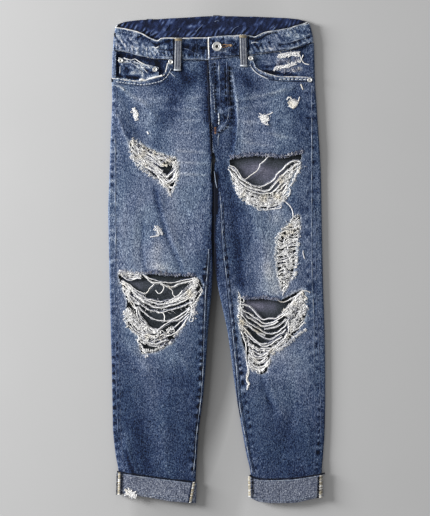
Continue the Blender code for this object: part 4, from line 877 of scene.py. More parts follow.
# The near-black beads here are painted shadow: beside and under the belt loops, under the waistband, round
# the coin pocket, beside the fly, along the pocket mouths, and in the waistband's dips and creases.
SEWING_AND_SHADOW = (
    # right pocket mouth
    Bead("right", RIGHT_SCOOP, 1.0, WHITE),
    Bead("right", ((-147, 341), (-142, 342), (-136, 340), (-130, 342.5), (-121, 345), (-110, 347.4),
                   (-103, 349)), 2.1, WHITE),
    Bead("right", ((-192, 335), (-178, 333), (-160, 331), (-140, 329.5), (-120, 332),
                   (-104, 337)), 0.9, INDIGO),
    Row("right", RIGHT_SCOOP_ROW, 5.7, 0.8, CHALK),
    Bead("right", ((-92, 368), (-88, 362), (-85, 358)), 0.9, SHADOW_BLACK),
    Bead("right", ((-94, 364), (-90, 358), (-86, 352), (-80, 347)), 0.7, WORN),
    Bead("right", ((-200, 334), (-193, 331), (-183, 327), (-176, 321)), 0.8, CHALK),
    Bead("right", ((-200, 328), (-188, 331), (-176, 325)), 0.6, WORN),
    Bead("right", ((-200, 344), (-200, 337)), 1.0, SHADOW_BLACK),
    Bead("right", ((-83, 373), (-82.4, 359)), 1.1, SHADOW_BLACK),
    Bead("right", ((-67, 373), (-66.6, 360)), 1.0, SHADOW_BLACK),
    Bead("right", ((-82, 357.4), (-68, 357.4)), 0.9, SHADOW_BLACK),
    Bead("right", ((-64, 377.4), (-40, 377), (-20, 377.4)), 0.9, SHADOW_BLACK),
    Bead("right", ((-193.4, 230), (-193.4, 113), (-193, 60), (-193, 20)), 0.7, WORN),
    Bead("right", ((-193, 20), (-194, -60), (-192, -200), (-188, -330)), 0.5, BLUE),
    # coin pocket
    Bead("coin", ((-177, 383), (-170, 381), (-162, 379), (-156, 381), (-148, 376), (-140, 372),
                  (-132, 368), (-127, 363)), 1.1, WHITE),
    Bead("coin", ((-178, 375), (-170, 375), (-163, 373.5), (-154, 368), (-148, 365), (-138, 361),
                  (-131, 354)), 0.9, CHALK),
    Bead("coin", ((-158, 377), (-152, 373), (-146, 371), (-142, 365), (-136, 364)), 0.8, CHALK),
    Bead("coin", ((-177, 379), (-166, 377), (-158, 373), (-150, 369)), 0.9, SHADOW_BLACK),
    Bead("coin", ((-178, 371), (-166, 370), (-156, 364), (-146, 360), (-138, 354)), 0.8, INDIGO),
    Bead("coin", ((-184, 367), (-184.5, 354)), 1.1, CHALK),
    # left pocket mouth
    Bead("left", LEFT_SCOOP, 0.9, WHITE),
    Bead("left", LEFT_SCOOP_ROW, 0.8, CHALK),
    Bead("left", ((64.5, 373), (69, 364), (75, 356), (88, 349), (104, 345), (118, 343.5)), 0.9, SHADOW_BLACK),
    Row("left", ((117, 342.5), (140, 342), (172, 341.6)), 7.6, 1.2, CHALK),
    Bead("left", ((98, 342), (112, 340), (130, 338.5), (174, 338)), 0.8, SHADOW_BLACK),
    Bead("left", ((159, 333), (161, 328), (163, 322)), 1.0, WHITE),
    Bead("left", ((44, 365.4), (58, 365.4)), 0.9, SHADOW_BLACK),
    Bead("left", ((180, 330), (180, 113), (180, 37), (181, -39), (184, -115),
                  (184.5, -191)), 0.5, WORN),
    Bead("left", ((184.5, -191), (186, -267), (187, -343), (185, -400)), 0.35, BLUE),
    Bead("left", ((187, 90), (188, -39), (191, -115), (194.5, -191), (196.5, -267),
                  (198, -343)), 0.5, BLUE),
    # waistband, right
    Bead("band", ((-83.4, 420), (-83.4, 378)), 1.1, SHADOW_BLACK),
    Bead("band", ((-66.6, 420), (-66.8, 378)), 1.0, SHADOW_BLACK),
    Bead("band", ((-193, 441), (-176, 438), (-155, 433), (-139, 427), (-125, 419), (-112, 415),
                  (-103, 420), (-60, 420), (-18, 421)), 1.0, WHITE),
    Bead("band", ((-194, 398), (-181, 397), (-170, 395.5), (-162, 391.5), (-150, 388.5),
                  (-130, 384.5)), 0.8, WORN),
    Bead("band", ((-124, 403), (-120, 403.5), (-117, 401), (-113, 402.5), (-110, 404.5)), 1.1, CHALK),
    Bead("band", ((-110, 399), (-96, 397.5), (-82, 398)), 1.0, SHADOW_BLACK),
    Bead("band", ((-116, 386), (-104, 385.5), (-94, 384), (-84, 384)), 0.7, WORN),
    Bead("band", ((-106, 393), (-100, 391)), 1.0, SHADOW_BLACK),
    Bead("band", ((-194, 431), (-195, 427), (-193, 423)), 1.0, SHADOW_BLACK),
    Bead("band", ((-195, 403), (-194, 398), (-191, 395)), 1.0, SHADOW_BLACK),
    Bead("band", ((-64, 401), (-54, 399), (-45, 394)), 0.7, BLUE),
    Bead("band", ((-52, 396), (-40, 395)), 0.8, SHADOW_BLACK),
    Bead("band", ((-39, 410), (-38, 402), (-39, 392)), 1.1, SHADOW_BLACK),
    Bead("band", ((-31, 405), (-31, 400)), 1.0, SHADOW_BLACK),
    Bead("band", ((-64, 392.5), (-40, 392.5), (-22, 392)), 0.5, BLUE),
    Bead("band", ((-64, 381), (-40, 380.8), (-20, 381)), 0.7, WORN),
    Bead("band", ((-15.8, 421), (-15.8, 400), (-15, 382)), 1.1, WHITE),
    Bead("band", ((-19, 419), (-19, 381)), 1.2, SHADOW_BLACK),
    # waistband, left
    Bead("band", ((42.6, 424), (42.6, 381)), 1.0, SHADOW_BLACK),
    Bead("band", ((59.4, 424), (59.4, 381)), 1.1, SHADOW_BLACK),
    Bead("band", ((-17, 421), (15, 424), (58, 425), (71, 422), (80, 426), (92, 431), (136, 439),
                  (159, 446), (172, 450)), 0.9, CHALK),
    Bead("band", ((58, 422), (66, 418.6), (74, 418), (82, 420), (94, 427), (112, 431.5)), 1.7, SHADOW_BLACK),
    Bead("band", ((65, 411), (72, 412.5), (80, 411)), 0.9, CHALK),
    Bead("band", ((84, 411), (81, 405), (77, 399)), 0.9, SHADOW_BLACK),
    Bead("band", ((10, 413), (16, 417), (22, 420)), 0.6, BLUE),
    Bead("band", ((25, 396), (29, 403), (35, 412)), 0.7, BLUE),
    Bead("band", ((-12, 385.5), (10, 386), (42, 387.5)), 0.9, SHADOW_BLACK),
    Bead("band", ((-12, 389.5), (10, 390), (42, 391)), 0.5, INDIGO),
    Bead("band", ((-12, 383), (14, 383.5), (42, 385)), 0.5, BLUE),
    Bead("band", ((72, 393), (92, 393.5), (112, 396), (130, 399)), 0.9, SHADOW_BLACK),
    Bead("band", ((112, 411), (128, 411.5), (140, 413), (158, 419), (176, 428)), 0.7, WORN),
    Bead("band", ((120, 408), (140, 410), (158, 416), (176, 424)), 0.7, SHADOW_BLACK),
    Bead("band", ((126, 400.5), (145, 402.5), (160, 408), (177, 416)), 0.6, WORN),
    Bead("band", ((136, 398), (148, 399.5), (160, 403.5), (178, 412)), 1.1, SHADOW_BLACK),
    Row("band", ((92, 429), (136, 435), (168, 444)), 4.6, 0.6, WORN),
    Row("band", ((-188, 433), (-158, 428), (-144, 424)), 4.4, 0.6, WORN),
    # fly
    Bead("right", ((-17.6, 378), (-17, 340), (-15.4, 300), (-14, 260), (-12, 225),
                   (-10.5, 198)), 1.7, SHADOW_BLACK),
    Bead("left", ((-13.4, 379), (-12.6, 340), (-11.4, 300), (-9, 272), (-8, 258)), 1.0, CHALK),
    Row("left", ((-5, 374), (-4, 330), (-3, 300), (-1, 276)), 7.4, 1.4, SHADOW_BLACK),
    Row("left", ((-7.6, 334), (-6, 310), (-4, 276)), 5.6, 1.1, WORN),
    Bead("left", ((3.6, 376), (4, 350), (4.4, 342)), 0.8, WORN),
    Bead("left", ((5, 342), (5.5, 310), (6, 292)), 0.6, BLUE),
    Row("left", ((23, 368), (23, 340), (24, 310), (26, 290)), 9.5, 2.3, SHADOW_BLACK),
    Row("left", ((15, 366), (15.4, 330), (17, 296)), 11, 1.2, SHADOW_BLACK),
    Row("left", ((-9.6, 374), (-8.6, 330), (-7, 290)), 9, 1.0, SHADOW_BLACK),
    Bead("left", ((18.6, 376), (18.6, 330), (19.6, 305), (20.6, 290)), 0.6, BLUE),
    Bead("left", ((27.6, 374), (28, 330), (29, 300), (30, 286)), 0.6, BLUE),
    Row("left", ((27, 288), (26, 272), (21, 256), (11, 246), (1, 240)), 7.5, 1.3, SHADOW_BLACK),
    Bead("left", ((22, 286), (21, 270), (16, 259), (8, 251)), 0.5, WORN),
    Row("left", ((3, 278), (4, 266), (3, 257)), 5.5, 1.3, CHALK),
    Bead("left", ((6, 243), (14, 248), (20, 253)), 0.8, WORN),
    Bead("left", ((3, 237), (2, 228), (2, 216)), 1.0, WORN),
    Bead("left", ((10, 276), (14, 268), (12, 262)), 0.9, SHADOW_BLACK),
    Bead("left", ((-2, 262), (0, 256)), 1.1, SHADOW_BLACK),
    Tack("left", (-4, 245), 6, 12, RUST),
    Row("right", ((-6, 232), (-7, 212), (-7, 200)), 5.0, 0.8, WORN),
    # buttonhole
    Bead("band", ((9, 406.5), (14, 408.5), (20, 407), (28, 407.5)), 0.9, TAN),
    Bead("band", ((9, 403.5), (14, 402.5), (20, 404.5), (28, 405.5)), 0.8, TAN),
    Bead("band", ((10, 405), (24, 406)), 0.6, INDIGO),
    Tack("band", (27, 406.5), 3.5, 3, TAN),
    # crotch
    Bead("left", ((-5, 168), (-4, 158), (-2, 146), (0, 136)), 0.8, WORN),
)

# Worn seam ridges that run the length of the legs, and the painted shadow beside them: what
# each follows and how far inside it lies.
LegLine = namedtuple("LegLine", "leg follows inset first last radius tone")
LEG_LINES = (
    LegLine("right", "outseam", 0.5, 338, -400, 0.35, BLUE),
    LegLine("right", "inseam", -0.6, 20, -402, 0.5, WORN),
    LegLine("right", "inseam", 2.2, 10, -402, 0.7, SHADOW_BLACK),
    LegLine("right", "inseam", -3.2, 20, -150, 0.8, SHADOW_BLACK),
    LegLine("left", "inseam", -0.4, 128, -404, 0.6, WORN),
    LegLine("left", "inseam", 3.2, 110, -404, 0.7, SHADOW_BLACK),
    LegLine("left", "inseam", -3.4, 90, -300, 0.7, INDIGO),
)

# ---------------------------------------------------------------- curves and noise


class Profile:
    """A table's column as a curve of the table's first column, rounded at the rows."""

    def __init__(self, rows, column, rounding=12):
        rows = sorted(rows)
        values = [getattr(row, column) for row in rows]
        self.at = np.arange(rows[0][0], rows[-1][0] + 1.0)
        straight = np.interp(self.at, [row[0] for row in rows], values)
        reach = 2 * rounding
        weights = fading(np.arange(-reach, reach + 1), rounding)
        padded = np.pad(straight, reach, mode="reflect", reflect_type="odd")
        self.values = np.convolve(padded, weights / weights.sum(), "valid")

    def __call__(self, at):
        return np.interp(at, self.at, self.values)


def ease(share):
    share = np.clip(share, 0.0, 1.0)
    return share * share * (3 - 2 * share)


def noise(x, y, size, seed, tall=1.0):
    """Smooth noise from -1 to 1, in lumps about size across and tall times as high."""
    lattice = np.random.default_rng(seed).uniform(-1, 1, (64, 64))
    u, v = x / size + 517.3, y / (size * tall) + 509.1
    column, row = np.floor(u).astype(int), np.floor(v).astype(int)
    a, b = ease(u - column), ease(v - row)

    def corner(right, up):
        return lattice[(column + right) % 64, (row + up) % 64]

    low = corner(0, 0) * (1 - a) + corner(1, 0) * a
    high = corner(0, 1) * (1 - a) + corner(1, 1) * a
    return low * (1 - b) + high * b


def fading(distance, reach, power=2):
    """1 at no distance, falling to 0 past reach. A higher power gives it a flatter top."""
    return np.exp(-((distance / reach) ** power))


def nearest(x, y, line):
    """Distance from points to a line of straight stretches, how far along, and the nearest point."""
    best = np.full(np.shape(x), 1e9)
    along, near_x, near_y = np.zeros_like(best), np.zeros_like(best), np.zeros_like(best)
    run = 0.0
    for (x1, y1), (x2, y2) in zip(line, line[1:]):
        dx, dy = x2 - x1, y2 - y1
        length = np.hypot(dx, dy)
        share = np.clip(((x - x1) * dx + (y - y1) * dy) / length**2, 0, 1)
        px, py = x1 + share * dx, y1 + share * dy
        distance = np.hypot(x - px, y - py)
        closer = distance < best
        best = np.where(closer, distance, best)
        along = np.where(closer, run + share * length, along)
        near_x, near_y = np.where(closer, px, near_x), np.where(closer, py, near_y)
        run += length
    return best, along, near_x, near_y


def inside(x, y, outline):
    """Whether points lie within a closed outline."""
    within = np.zeros(np.shape(x), dtype=bool)
    for (x1, y1), (x2, y2) in zip(outline, outline[1:] + outline[:1]):
        if y1 == y2:
            continue
        crosses = (y1 > y) != (y2 > y)
        within ^= crosses & (x < (x2 - x1) * (y - y1) / (y2 - y1) + x1)
    return within


def rounded(points, step=3.0, closed=False):
    """A smooth line through points, as a list of points about step apart."""
    pts = [np.array(p, dtype=float) for p in points]
    count = len(pts)
    made = []
    for i in range(count if closed else count - 1):
        if closed:
            p0, p1, p2, p3 = (pts[(i + k) % count] for k in (-1, 0, 1, 2))
        else:
            p0, p1, p2, p3 = (pts[min(max(i + k, 0), count - 1)] for k in (-1, 0, 1, 2))
        steps = max(1, int(np.hypot(*(p2 - p1)[:2]) / step))
        for t in np.arange(steps) / steps:
            square = (2 * p0 - 5 * p1 + 4 * p2 - p3) * t**2
            cube = (3 * p1 - p0 - 3 * p2 + p3) * t**3
            made.append(tuple(0.5 * (2 * p1 + (p2 - p0) * t + square + cube)))
    if not closed:
        made.append(tuple(pts[-1]))
    return made


def ragged(outline, amount, seed):
    """A closed outline that wanders by amount, as a torn edge does."""
    points = rounded(outline, 2.0, closed=True)
    wander = np.random.default_rng(seed).normal(0, amount, (len(points), 2))
    return [(x + dx, y + dy) for (x, y), (dx, dy) in zip(points, wander)]


# ---------------------------------------------------------------- the lying garment

BAND = {key: Profile(WAISTBAND, key, 6) for key in ("front_low", "front_top", "back_low", "back_top")}
LEVEL = {key: Profile(HEIGHTS, key, 10) for key in ("under", "edge", "crown", "inner")}


def above_crotch(base):
    """0 down the legs and 1 above the crotch, where the inner folds have run out."""
    return ease((base - 178) / 26)


def fly_lap(base):
    """0 below the fly and 1 along it, where the left front laps over the right one."""
    return ease((base - 196) / 20)


def band_edge(edge, x, back):
    """An edge of the waistband, "low" or "top", from the front (back = 0) round to the back (1)."""
    return BAND[f"front_{edge}"](x) * (1 - back) + BAND[f"back_{edge}"](x) * back


def rippled(puckers, x, y, seed=40):
    """The ripple beside seams: its height, and the wash that it carries."""
    height, levels = np.zeros(np.shape(x)), np.zeros(np.shape(x))
    for number, pucker in enumerate(puckers):
        distance, along, _, near_y = nearest(x, y, pucker.line)
        wander = noise(along, along * 0, pucker.pitch * 1.3, seed + number)
        patchy = 0.9 + 0.6 * noise(along, along * 0, 4.3 * pucker.pitch, seed + 90 + number)
        turn = (along + pucker.lean * (y - near_y)) / pucker.pitch + 0.45 * wander
        wave = np.sin(2 * pi * turn)
        uneven = 0.85 + 0.3 * noise(x, y, 1.4 * pucker.pitch, seed + 50 + number)
        sharp = np.sign(wave) * np.abs(wave) ** 0.7 * uneven
        close = fading(distance, pucker.reach)
        height += pucker.height * sharp * close
        rub = pucker.levels * (np.maximum(sharp, -0.85) - 0.2) * close * (0.75 + 0.4 * wander)
        levels += rub * np.clip(patchy, 0.3, 1.2)
    return height, levels


class Leg:
    """One leg's tube: the heights of its top surface, the places of its seams, and its wash."""

    def __init__(self, name, rows, cuff, wash):
        self.name = name
        self.side = 1 if rows[0].outer > 0 else -1
        for column in ("outer", "outseam", "inseam", "inner"):
            setattr(self, column, Profile(rows, column))
        self.cuff_low, self.cuff_top = Profile(cuff, "low", 5), Profile(cuff, "top", 5)
        self.wash_outer, self.wash_front, self.wash_inner = (
            Profile(wash, column, 25) for column in ("outer", "front", "inner")
        )

    def y(self, base, x, back=0.0):
        """Height of a nominal section at x. Sections lean to the waistband and to the hem."""
        band = band_edge("low", x, back) - WAIST_GAP
        high = WAIST_BEND + (band - WAIST_BEND) * (base - WAIST_BEND) / (WAIST_ROW - WAIST_BEND)
        hem = self.cuff_low(x) + CUFF_CLOTH + HEM_GAP
        low = HEM_BEND + (hem - HEM_BEND) * (base - HEM_BEND) / (HEM_ROW - HEM_BEND)
        return np.where(base > WAIST_BEND, high, np.where(base < HEM_BEND, low, base + 0 * x))

    def base(self, x, y):
        """The nominal section that passes through a point in plan."""
        band = BAND["front_low"](x) - WAIST_GAP
        high = WAIST_BEND + (y - WAIST_BEND) * (WAIST_ROW - WAIST_BEND) / (band - WAIST_BEND)
        hem = self.cuff_low(x) + CUFF_CLOTH + HEM_GAP
        low = HEM_BEND + (y - HEM_BEND) * (HEM_ROW - HEM_BEND) / (hem - HEM_BEND)
        return np.where(y > WAIST_BEND, high, np.where(y < HEM_BEND, low, y))

    def across(self, x, base):
        """How far across the leg a point is, from its outer fold (0) to its inner one (1)."""
        outer, inner = self.outer(base), self.inner(base)
        return np.clip((x - outer) / (inner - outer), 0, 1)

    def top(self, x, base):
        """Height of the front's face before its fine creases."""
        across = self.across(x, base)
        crown = LEVEL["crown"](base)
        outer_fall = 1 - np.sin(pi / 2 * np.minimum(1, across / 0.3))
        inner_fall = 1 - np.sin(pi / 2 * np.minimum(1, (1 - across) / 0.3))
        level = crown - (crown - LEVEL["edge"](base)) * outer_fall
        level = level - (crown - LEVEL["inner"](base)) * inner_fall
        y = self.y(base, x)
        lift = sum(
            fold.height * fading(nearest(x, y, fold.line)[0], fold.half_width) for fold in MAIN_FOLDS
        )
        return level + lift * self.clear_of_folds(across, base)

    def clear_of_folds(self, across, base):
        """1 over most of the leg, falling to 0 at its two folds, where front and back meet."""
        inner = np.minimum(1, (1 - across) / 0.08)
        inner = inner + (1 - inner) * above_crotch(base)
        return np.minimum(np.minimum(1, across / 0.08), inner)

    def even_wash(self, x, base):
        """The wash level before creases, rubs and puckers."""
        across = self.across(x, base)
        outer = 1 - ease(across / 0.32)
        inner = 1 - ease((1 - across) / 0.3)
        front = self.wash_front(base)
        return front + (self.wash_outer(base) - front) * outer + (self.wash_inner(base) - front) * inner


RIGHT = Leg("right", RIGHT_LEG, RIGHT_CUFF, RIGHT_WASH)
LEFT = Leg("left", LEFT_LEG, LEFT_CUFF, LEFT_WASH)
LEGS = (RIGHT, LEFT)


def rubbed(rubs, x, y):
    """The change of level that a table of rubs and painted light and shade makes."""
    return sum(rub.levels * fading(nearest(x, y, rub.line)[0], rub.half_width) for rub in rubs)


def creases(x, y):
    """The fine creases: their height, and the wash that they carry, with painted light and shade."""
    height, levels = np.zeros(np.shape(x)), np.zeros(np.shape(x))
    for fold in FINE_FOLDS:
        rise = fold.height * fading(nearest(x, y, fold.line)[0], fold.half_width)
        height += rise
        levels += WEAR_AND_SHADE_PER_MM * rise
    levels += rubbed(RUBS_AND_SHADE, x, y)
    ripple, ripple_levels = rippled(PUCKERS, x, y)
    slack = 0.28 * noise(x, y, 34, 1, 1.6) + 0.16 * noise(x, y, 13, 2, 1.3) + 0.05 * noise(x, y, 5, 3)
    # The slack's smaller ripples are paler where they rise and darker where they sink: painted light and
    # shade.
    levels += 26 * (0.16 * noise(x, y, 13, 2, 1.3) + 0.05 * noise(x, y, 5, 3))
    return height + ripple + slack, levels + ripple_levels


def leg_at(x):
    """The leg that a line or a point belongs to, by its mean x."""
    return RIGHT if np.mean(x) < OVERLAP_END_X + 3 else LEFT


def face(leg, x, y):
    """Height of the finished front face at points in plan."""
    base = leg.base(x, y)
    return leg.top(x, base) + creases(x, y)[0] * leg.clear_of_folds(leg.across(x, base), base)

# ---------------------------------------------------------------- making sheets


def deselect_all():
    if bpy.context.object and bpy.context.object.mode != "OBJECT":
        bpy.ops.object.mode_set(mode="OBJECT")
    bpy.ops.object.select_all(action="DESELECT")


def add_piece(name, verts, faces, finishes, marks):
    """A new piece from points in millimetres and faces, with a value at each point for each mark."""
    mesh = bpy.data.meshes.new(name)
    mesh.from_pydata((np.asarray(verts) * MM).tolist(), [], faces)
    for key, values in marks.items():
        mark = mesh.attributes.new(key, "FLOAT", "POINT")
        mark.data.foreach_set("value", np.asarray(values, dtype=np.float32))
    mesh.validate()
    made = bpy.data.objects.new(name, mesh)
    for finish in finishes:
        mesh.materials.append(finish)
    bpy.context.collection.objects.link(made)
    mesh.shade_smooth()
    return made


def give_thickness(piece, thickness, finishes, bevel=0.0):
    """Turns a piece from one face into a shell, with finishes for its inside and its cut edge."""
    deselect_all()
    bpy.context.view_layer.objects.active = piece
    piece.select_set(True)
    for finish in finishes:
        piece.data.materials.append(finish)
    shell = piece.modifiers.new("cloth", "SOLIDIFY")
    shell.thickness = thickness * MM
    shell.offset = -1
    shell.material_offset = 1
    shell.material_offset_rim = 2
    bpy.ops.object.modifier_apply(modifier=shell.name)
    if bevel:
        edge = piece.modifiers.new("edge", "BEVEL")
        edge.width = bevel * MM
        edge.segments = 2
        edge.limit_method = "ANGLE"
        edge.angle_limit = radians(50)
        bpy.ops.object.modifier_apply(modifier=edge.name)
    piece.data.shade_smooth()
    piece.data.set_sharp_from_angle(angle=radians(52))


def mm(length):
    """A length of the settings, which are in metres and in single precision, in millimetres."""
    return round(length / MM, 4)


def sheet_of(
    settings, name, points, twills, thickness, wash, within=60, keep=None,
    flip=False, around=False, bevel=0.0,
):
    """A shell of cloth over a grid of points, which are x, y and z in millimetres.

    twills name the finish of its face, its other side and its cut edge. wash gives the dye
    level of the face, and within that of the other side; both also carry painted light and shade
    where the tables give it. keep says which cells are there.
    """
    x, y, z = points
    finishes = [twill(settings, kind) for kind in twills]
    rows, columns = x.shape
    index = np.arange(rows * columns).reshape(rows, columns)
    beside = np.roll(index, -1, axis=1) if around else index[:, 1:]
    near = index if around else index[:, :-1]
    cells = np.stack([near[:-1], beside[:-1], beside[1:], near[1:]], axis=-1)
    if flip:
        cells = cells[..., ::-1]
    cells = cells.reshape(-1, 4) if keep is None else cells[keep]
    used = np.unique(cells)
    new = np.full(rows * columns, -1)
    new[used] = np.arange(len(used))
    verts = np.stack([x, y, z], axis=-1).reshape(-1, 3)[used]
    marks = {
        key: np.broadcast_to(levels, x.shape).reshape(-1)[used] / 255
        for key, levels in (("wash", wash + settings.fade), ("within", within))
    }
    piece = add_piece(name, verts, new[cells].tolist(), finishes[:1], marks)
    give_thickness(piece, thickness, finishes[1:], bevel)
    return piece


def torn(x, y, outlines, cell):
    """A grid cut by torn edges: its points moved on to the nearest one, and the cells that stay."""
    for outline in outlines:
        distance, _, near_x, near_y = nearest(x, y, outline + outline[:1])
        snap = distance < 0.5 * cell
        x, y = np.where(snap, near_x, x), np.where(snap, near_y, y)
    middle_x = (x[:-1, :-1] + x[:-1, 1:] + x[1:, 1:] + x[1:, :-1]) / 4
    middle_y = (y[:-1, :-1] + y[:-1, 1:] + y[1:, 1:] + y[1:, :-1]) / 4
    keep = np.ones(middle_x.shape, dtype=bool)
    for outline in outlines:
        keep &= ~inside(middle_x, middle_y, outline)
    return x, y, keep


def trim(piece):
    """Says that a piece goes with the garment, by hanging it on the root."""
    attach(piece, "root")
    return piece


def declare(piece, node, flat, area=None):
    """Hides the solid that a cloth piece stands for and hangs the piece on the garment; the size that it
    was cut to, in millimetres, is not used.
    """
    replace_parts(trim(piece), node)
    width, length = flat


# ---------------------------------------------------------------- yarn


def yarn(name, strands, finish, sides=4):
    """Tubes along strands. A strand is (points, radius, tone), the last two one value or one a point."""
    verts, faces, tones, start = [], [], [], 0
    turn = 2 * pi * np.arange(sides) / sides
    for points, radius, tone in strands:
        path = np.asarray(points, dtype=float)
        count = len(path)
        forward = np.gradient(path, axis=0)
        forward /= np.maximum(np.linalg.norm(forward, axis=1, keepdims=True), 1e-6)
        across = np.cross(forward, (0.0, 0.0, 1.0))
        across /= np.maximum(np.linalg.norm(across, axis=1, keepdims=True), 1e-6)
        up = np.cross(across, forward)
        width = np.broadcast_to(radius, count)[:, None, None]
        sideways = np.cos(turn)[None, :, None] * across[:, None, :]
        ring = path[:, None, :] + width * (sideways + np.sin(turn)[None, :, None] * up[:, None, :])
        verts.append(ring.reshape(-1, 3))
        index = start + np.arange(count * sides).reshape(count, sides)
        beside = np.roll(index, -1, axis=1)
        wall = np.stack([index[:-1], index[1:], beside[1:], beside[:-1]], axis=-1).reshape(-1, 4)
        faces += wall.tolist()
        faces += [index[0].tolist(), index[-1][::-1].tolist()]
        tones.append(np.repeat(np.broadcast_to(tone, count), sides))
        start += count * sides
    return add_piece(name, np.concatenate(verts), faces, [finish], {"tone": np.concatenate(tones)})


# ---------------------------------------------------------------- materials


def linear(code):
    """A colour from its sRGB hex code."""
    values = [int(code[i:i + 2], 16) / 255 for i in (1, 3, 5)]
    return (*(v / 12.92 if v <= 0.04045 else ((v + 0.055) / 1.055) ** 2.4 for v in values), 1.0)


def add_node(tree, kind, inputs=None, out=0, stops=(), **settings):
    """Adds a shader node and gives one of its outputs.

    inputs give its sockets a value, or another node's output to link. stops are a ramp's:
    a position from 0 to 255, and a hex code or a colour from the settings.
    """
    made = tree.nodes.new(f"ShaderNode{kind}")
    for key, value in settings.items():
        setattr(made, key, value)
    for key, value in (inputs or {}).items():
        if isinstance(value, bpy.types.NodeSocket):
            tree.links.new(value, made.inputs[key])
        else:
            made.inputs[key].default_value = value
    for number, (place, code) in enumerate(stops):
        elements = made.color_ramp.elements
        element = elements[number] if number < 2 else elements.new(place / 255)
        element.position = place / 255
        element.color = linear(code) if isinstance(code, str) else (*code, 1)
    return made.outputs[out]


def new_material(name):
    """A new material, its node tree and its shader."""
    made = bpy.data.materials.new(name)
    made.use_nodes = True
    tree = made.node_tree
    return made, tree, tree.nodes["Principled BSDF"]


def grain(tree, place, width, height, amount):
    """Noise in lumps of width by height millimetres, from -amount / 2 to amount / 2 levels."""
    scale = (1 / (width * MM), 1 / (height * MM), 1 / (width * MM))
    stretched = add_node(tree, "Mapping", {"Vector": place, "Scale": scale})
    lumps = add_node(tree, "TexNoise", {
        "Vector": stretched, "Scale": 1.0, "Detail": 0.6, "Roughness": 0.6,
    })
    return add_node(tree, "MapRange", {
        "Value": lumps, "From Min": 0.25, "From Max": 0.75,
        "To Min": -amount / 510, "To Max": amount / 510,
    }, clamp=False)


def total(tree, *values):
    """The sum of several values."""
    result = values[0]
    for value in values[1:]:
        result = add_node(tree, "Math", {0: result, 1: value}, operation="ADD")
    return result


# Cloth finishes. stops are the colours of the dye levels, and bleached those that take over
# where the cloth is rubbed pale. grains are (width, height, amount in levels). The level comes
# from one of the cloth's marks, or is one number. casts are tints that drift into each other.
WHITE_CAST = ("#ffffff", "#ffffff")
Twill = namedtuple(
    "Twill", "stops grains level bump casts bleached", defaults=("wash", 0.25, WHITE_CAST, ()),
)
DENIM, REVERSE, SHADED_INSIDE = "washed_indigo_twill", "twill_reverse", "twill_inside"
DEEP, FRINGE, RIBBED = "deep_indigo_twill", "frayed_edge", "ribbed_loop_twill"
TWILLS = {
    # Indigo-dyed cotton twill, stone washed: warp slubs run up the cloth and the white
    # weft shows through where it is rubbed, so it goes from ink blue to chalky grey.
    DENIM: Twill((
        (0, "#070b18"), (26, "#0f1a34"), (41, "#1a2949"), (63, "#30405f"), (84, "#465670"),
        (109, "#626e86"), (140, "#808da2"), (175, "#a2b0c5"), (215, "#cdd8e7"), (250, "#eef2f8"),
    ), ((1.5, 3.0, 104), (1.4, 1.9, 92), (1.9, 12, 30), (6.0, 40, 12)), bleached=(
        (60, "#393e49"), (110, "#676d78"), (150, "#9196a0"), (190, "#bbbec3"), (230, "#e4e5e6"),
    ), casts=("#faffff", "#fffdff")),
    # The twill's other face, where the undyed weft lies on top: pale, greyed and streaky.
    REVERSE: Twill((
        (40, "#2a3040"), (80, "#4b5265"), (112, "#6a7081"), (145, "#8a909d"), (190, "#b8bcc5"),
    ), ((3.0, 1.9, 84), (1.9, 2.2, 96), (7.0, 5.0, 20)), level=108, bump=0.35),
    # The inside of the legs, the same weave with painted shade as of half light: only the brightest weft
    # shows.
    SHADED_INSIDE: Twill((
        (0, "#0a0c10"), (30, "#22272b"), (60, "#3d4249"), (90, "#5b5c6c"), (120, "#7c7b8b"),
        (190, "#b4b5bd"),
    ), ((3.0, 2.0, 30), (2.0, 2.4, 28)), level="within", bump=0.3),
    # Unwashed indigo inside the waistband, crinkled by its stitching: near black, with dull blue rims.
    DEEP: Twill((
        (0, "#080b16"), (34, "#151d36"), (62, "#273459"), (96, "#46567c"), (140, "#7888a4"),
    ), ((3.0, 5.0, 26), (2.0, 2.0, 24)), level="within", bump=0.5),
    # Cut edges: fluffy undyed weft with blue warp ends in it, so they look like pale, flecked fur.
    FRINGE: Twill((
        (60, "#5f6983"), (110, "#9aa0ad"), (160, "#cfd1d4"), (210, "#f0f0ee"),
    ), ((2.0, 3.0, 90), (1.6, 1.6, 60)), level=150, bump=0.3),
    # Doubled twill of the belt loops, rubbed grey along its ribs.
    RIBBED: Twill((
        (0, "#0b0d15"), (40, "#272b38"), (84, "#585c68"), (126, "#82868d"), (170, "#b0b2b4"),
        (220, "#d5d4d0"),
    ), ((1.6, 5.0, 40), (2.0, 2.0, 30)), bump=0.3),
}


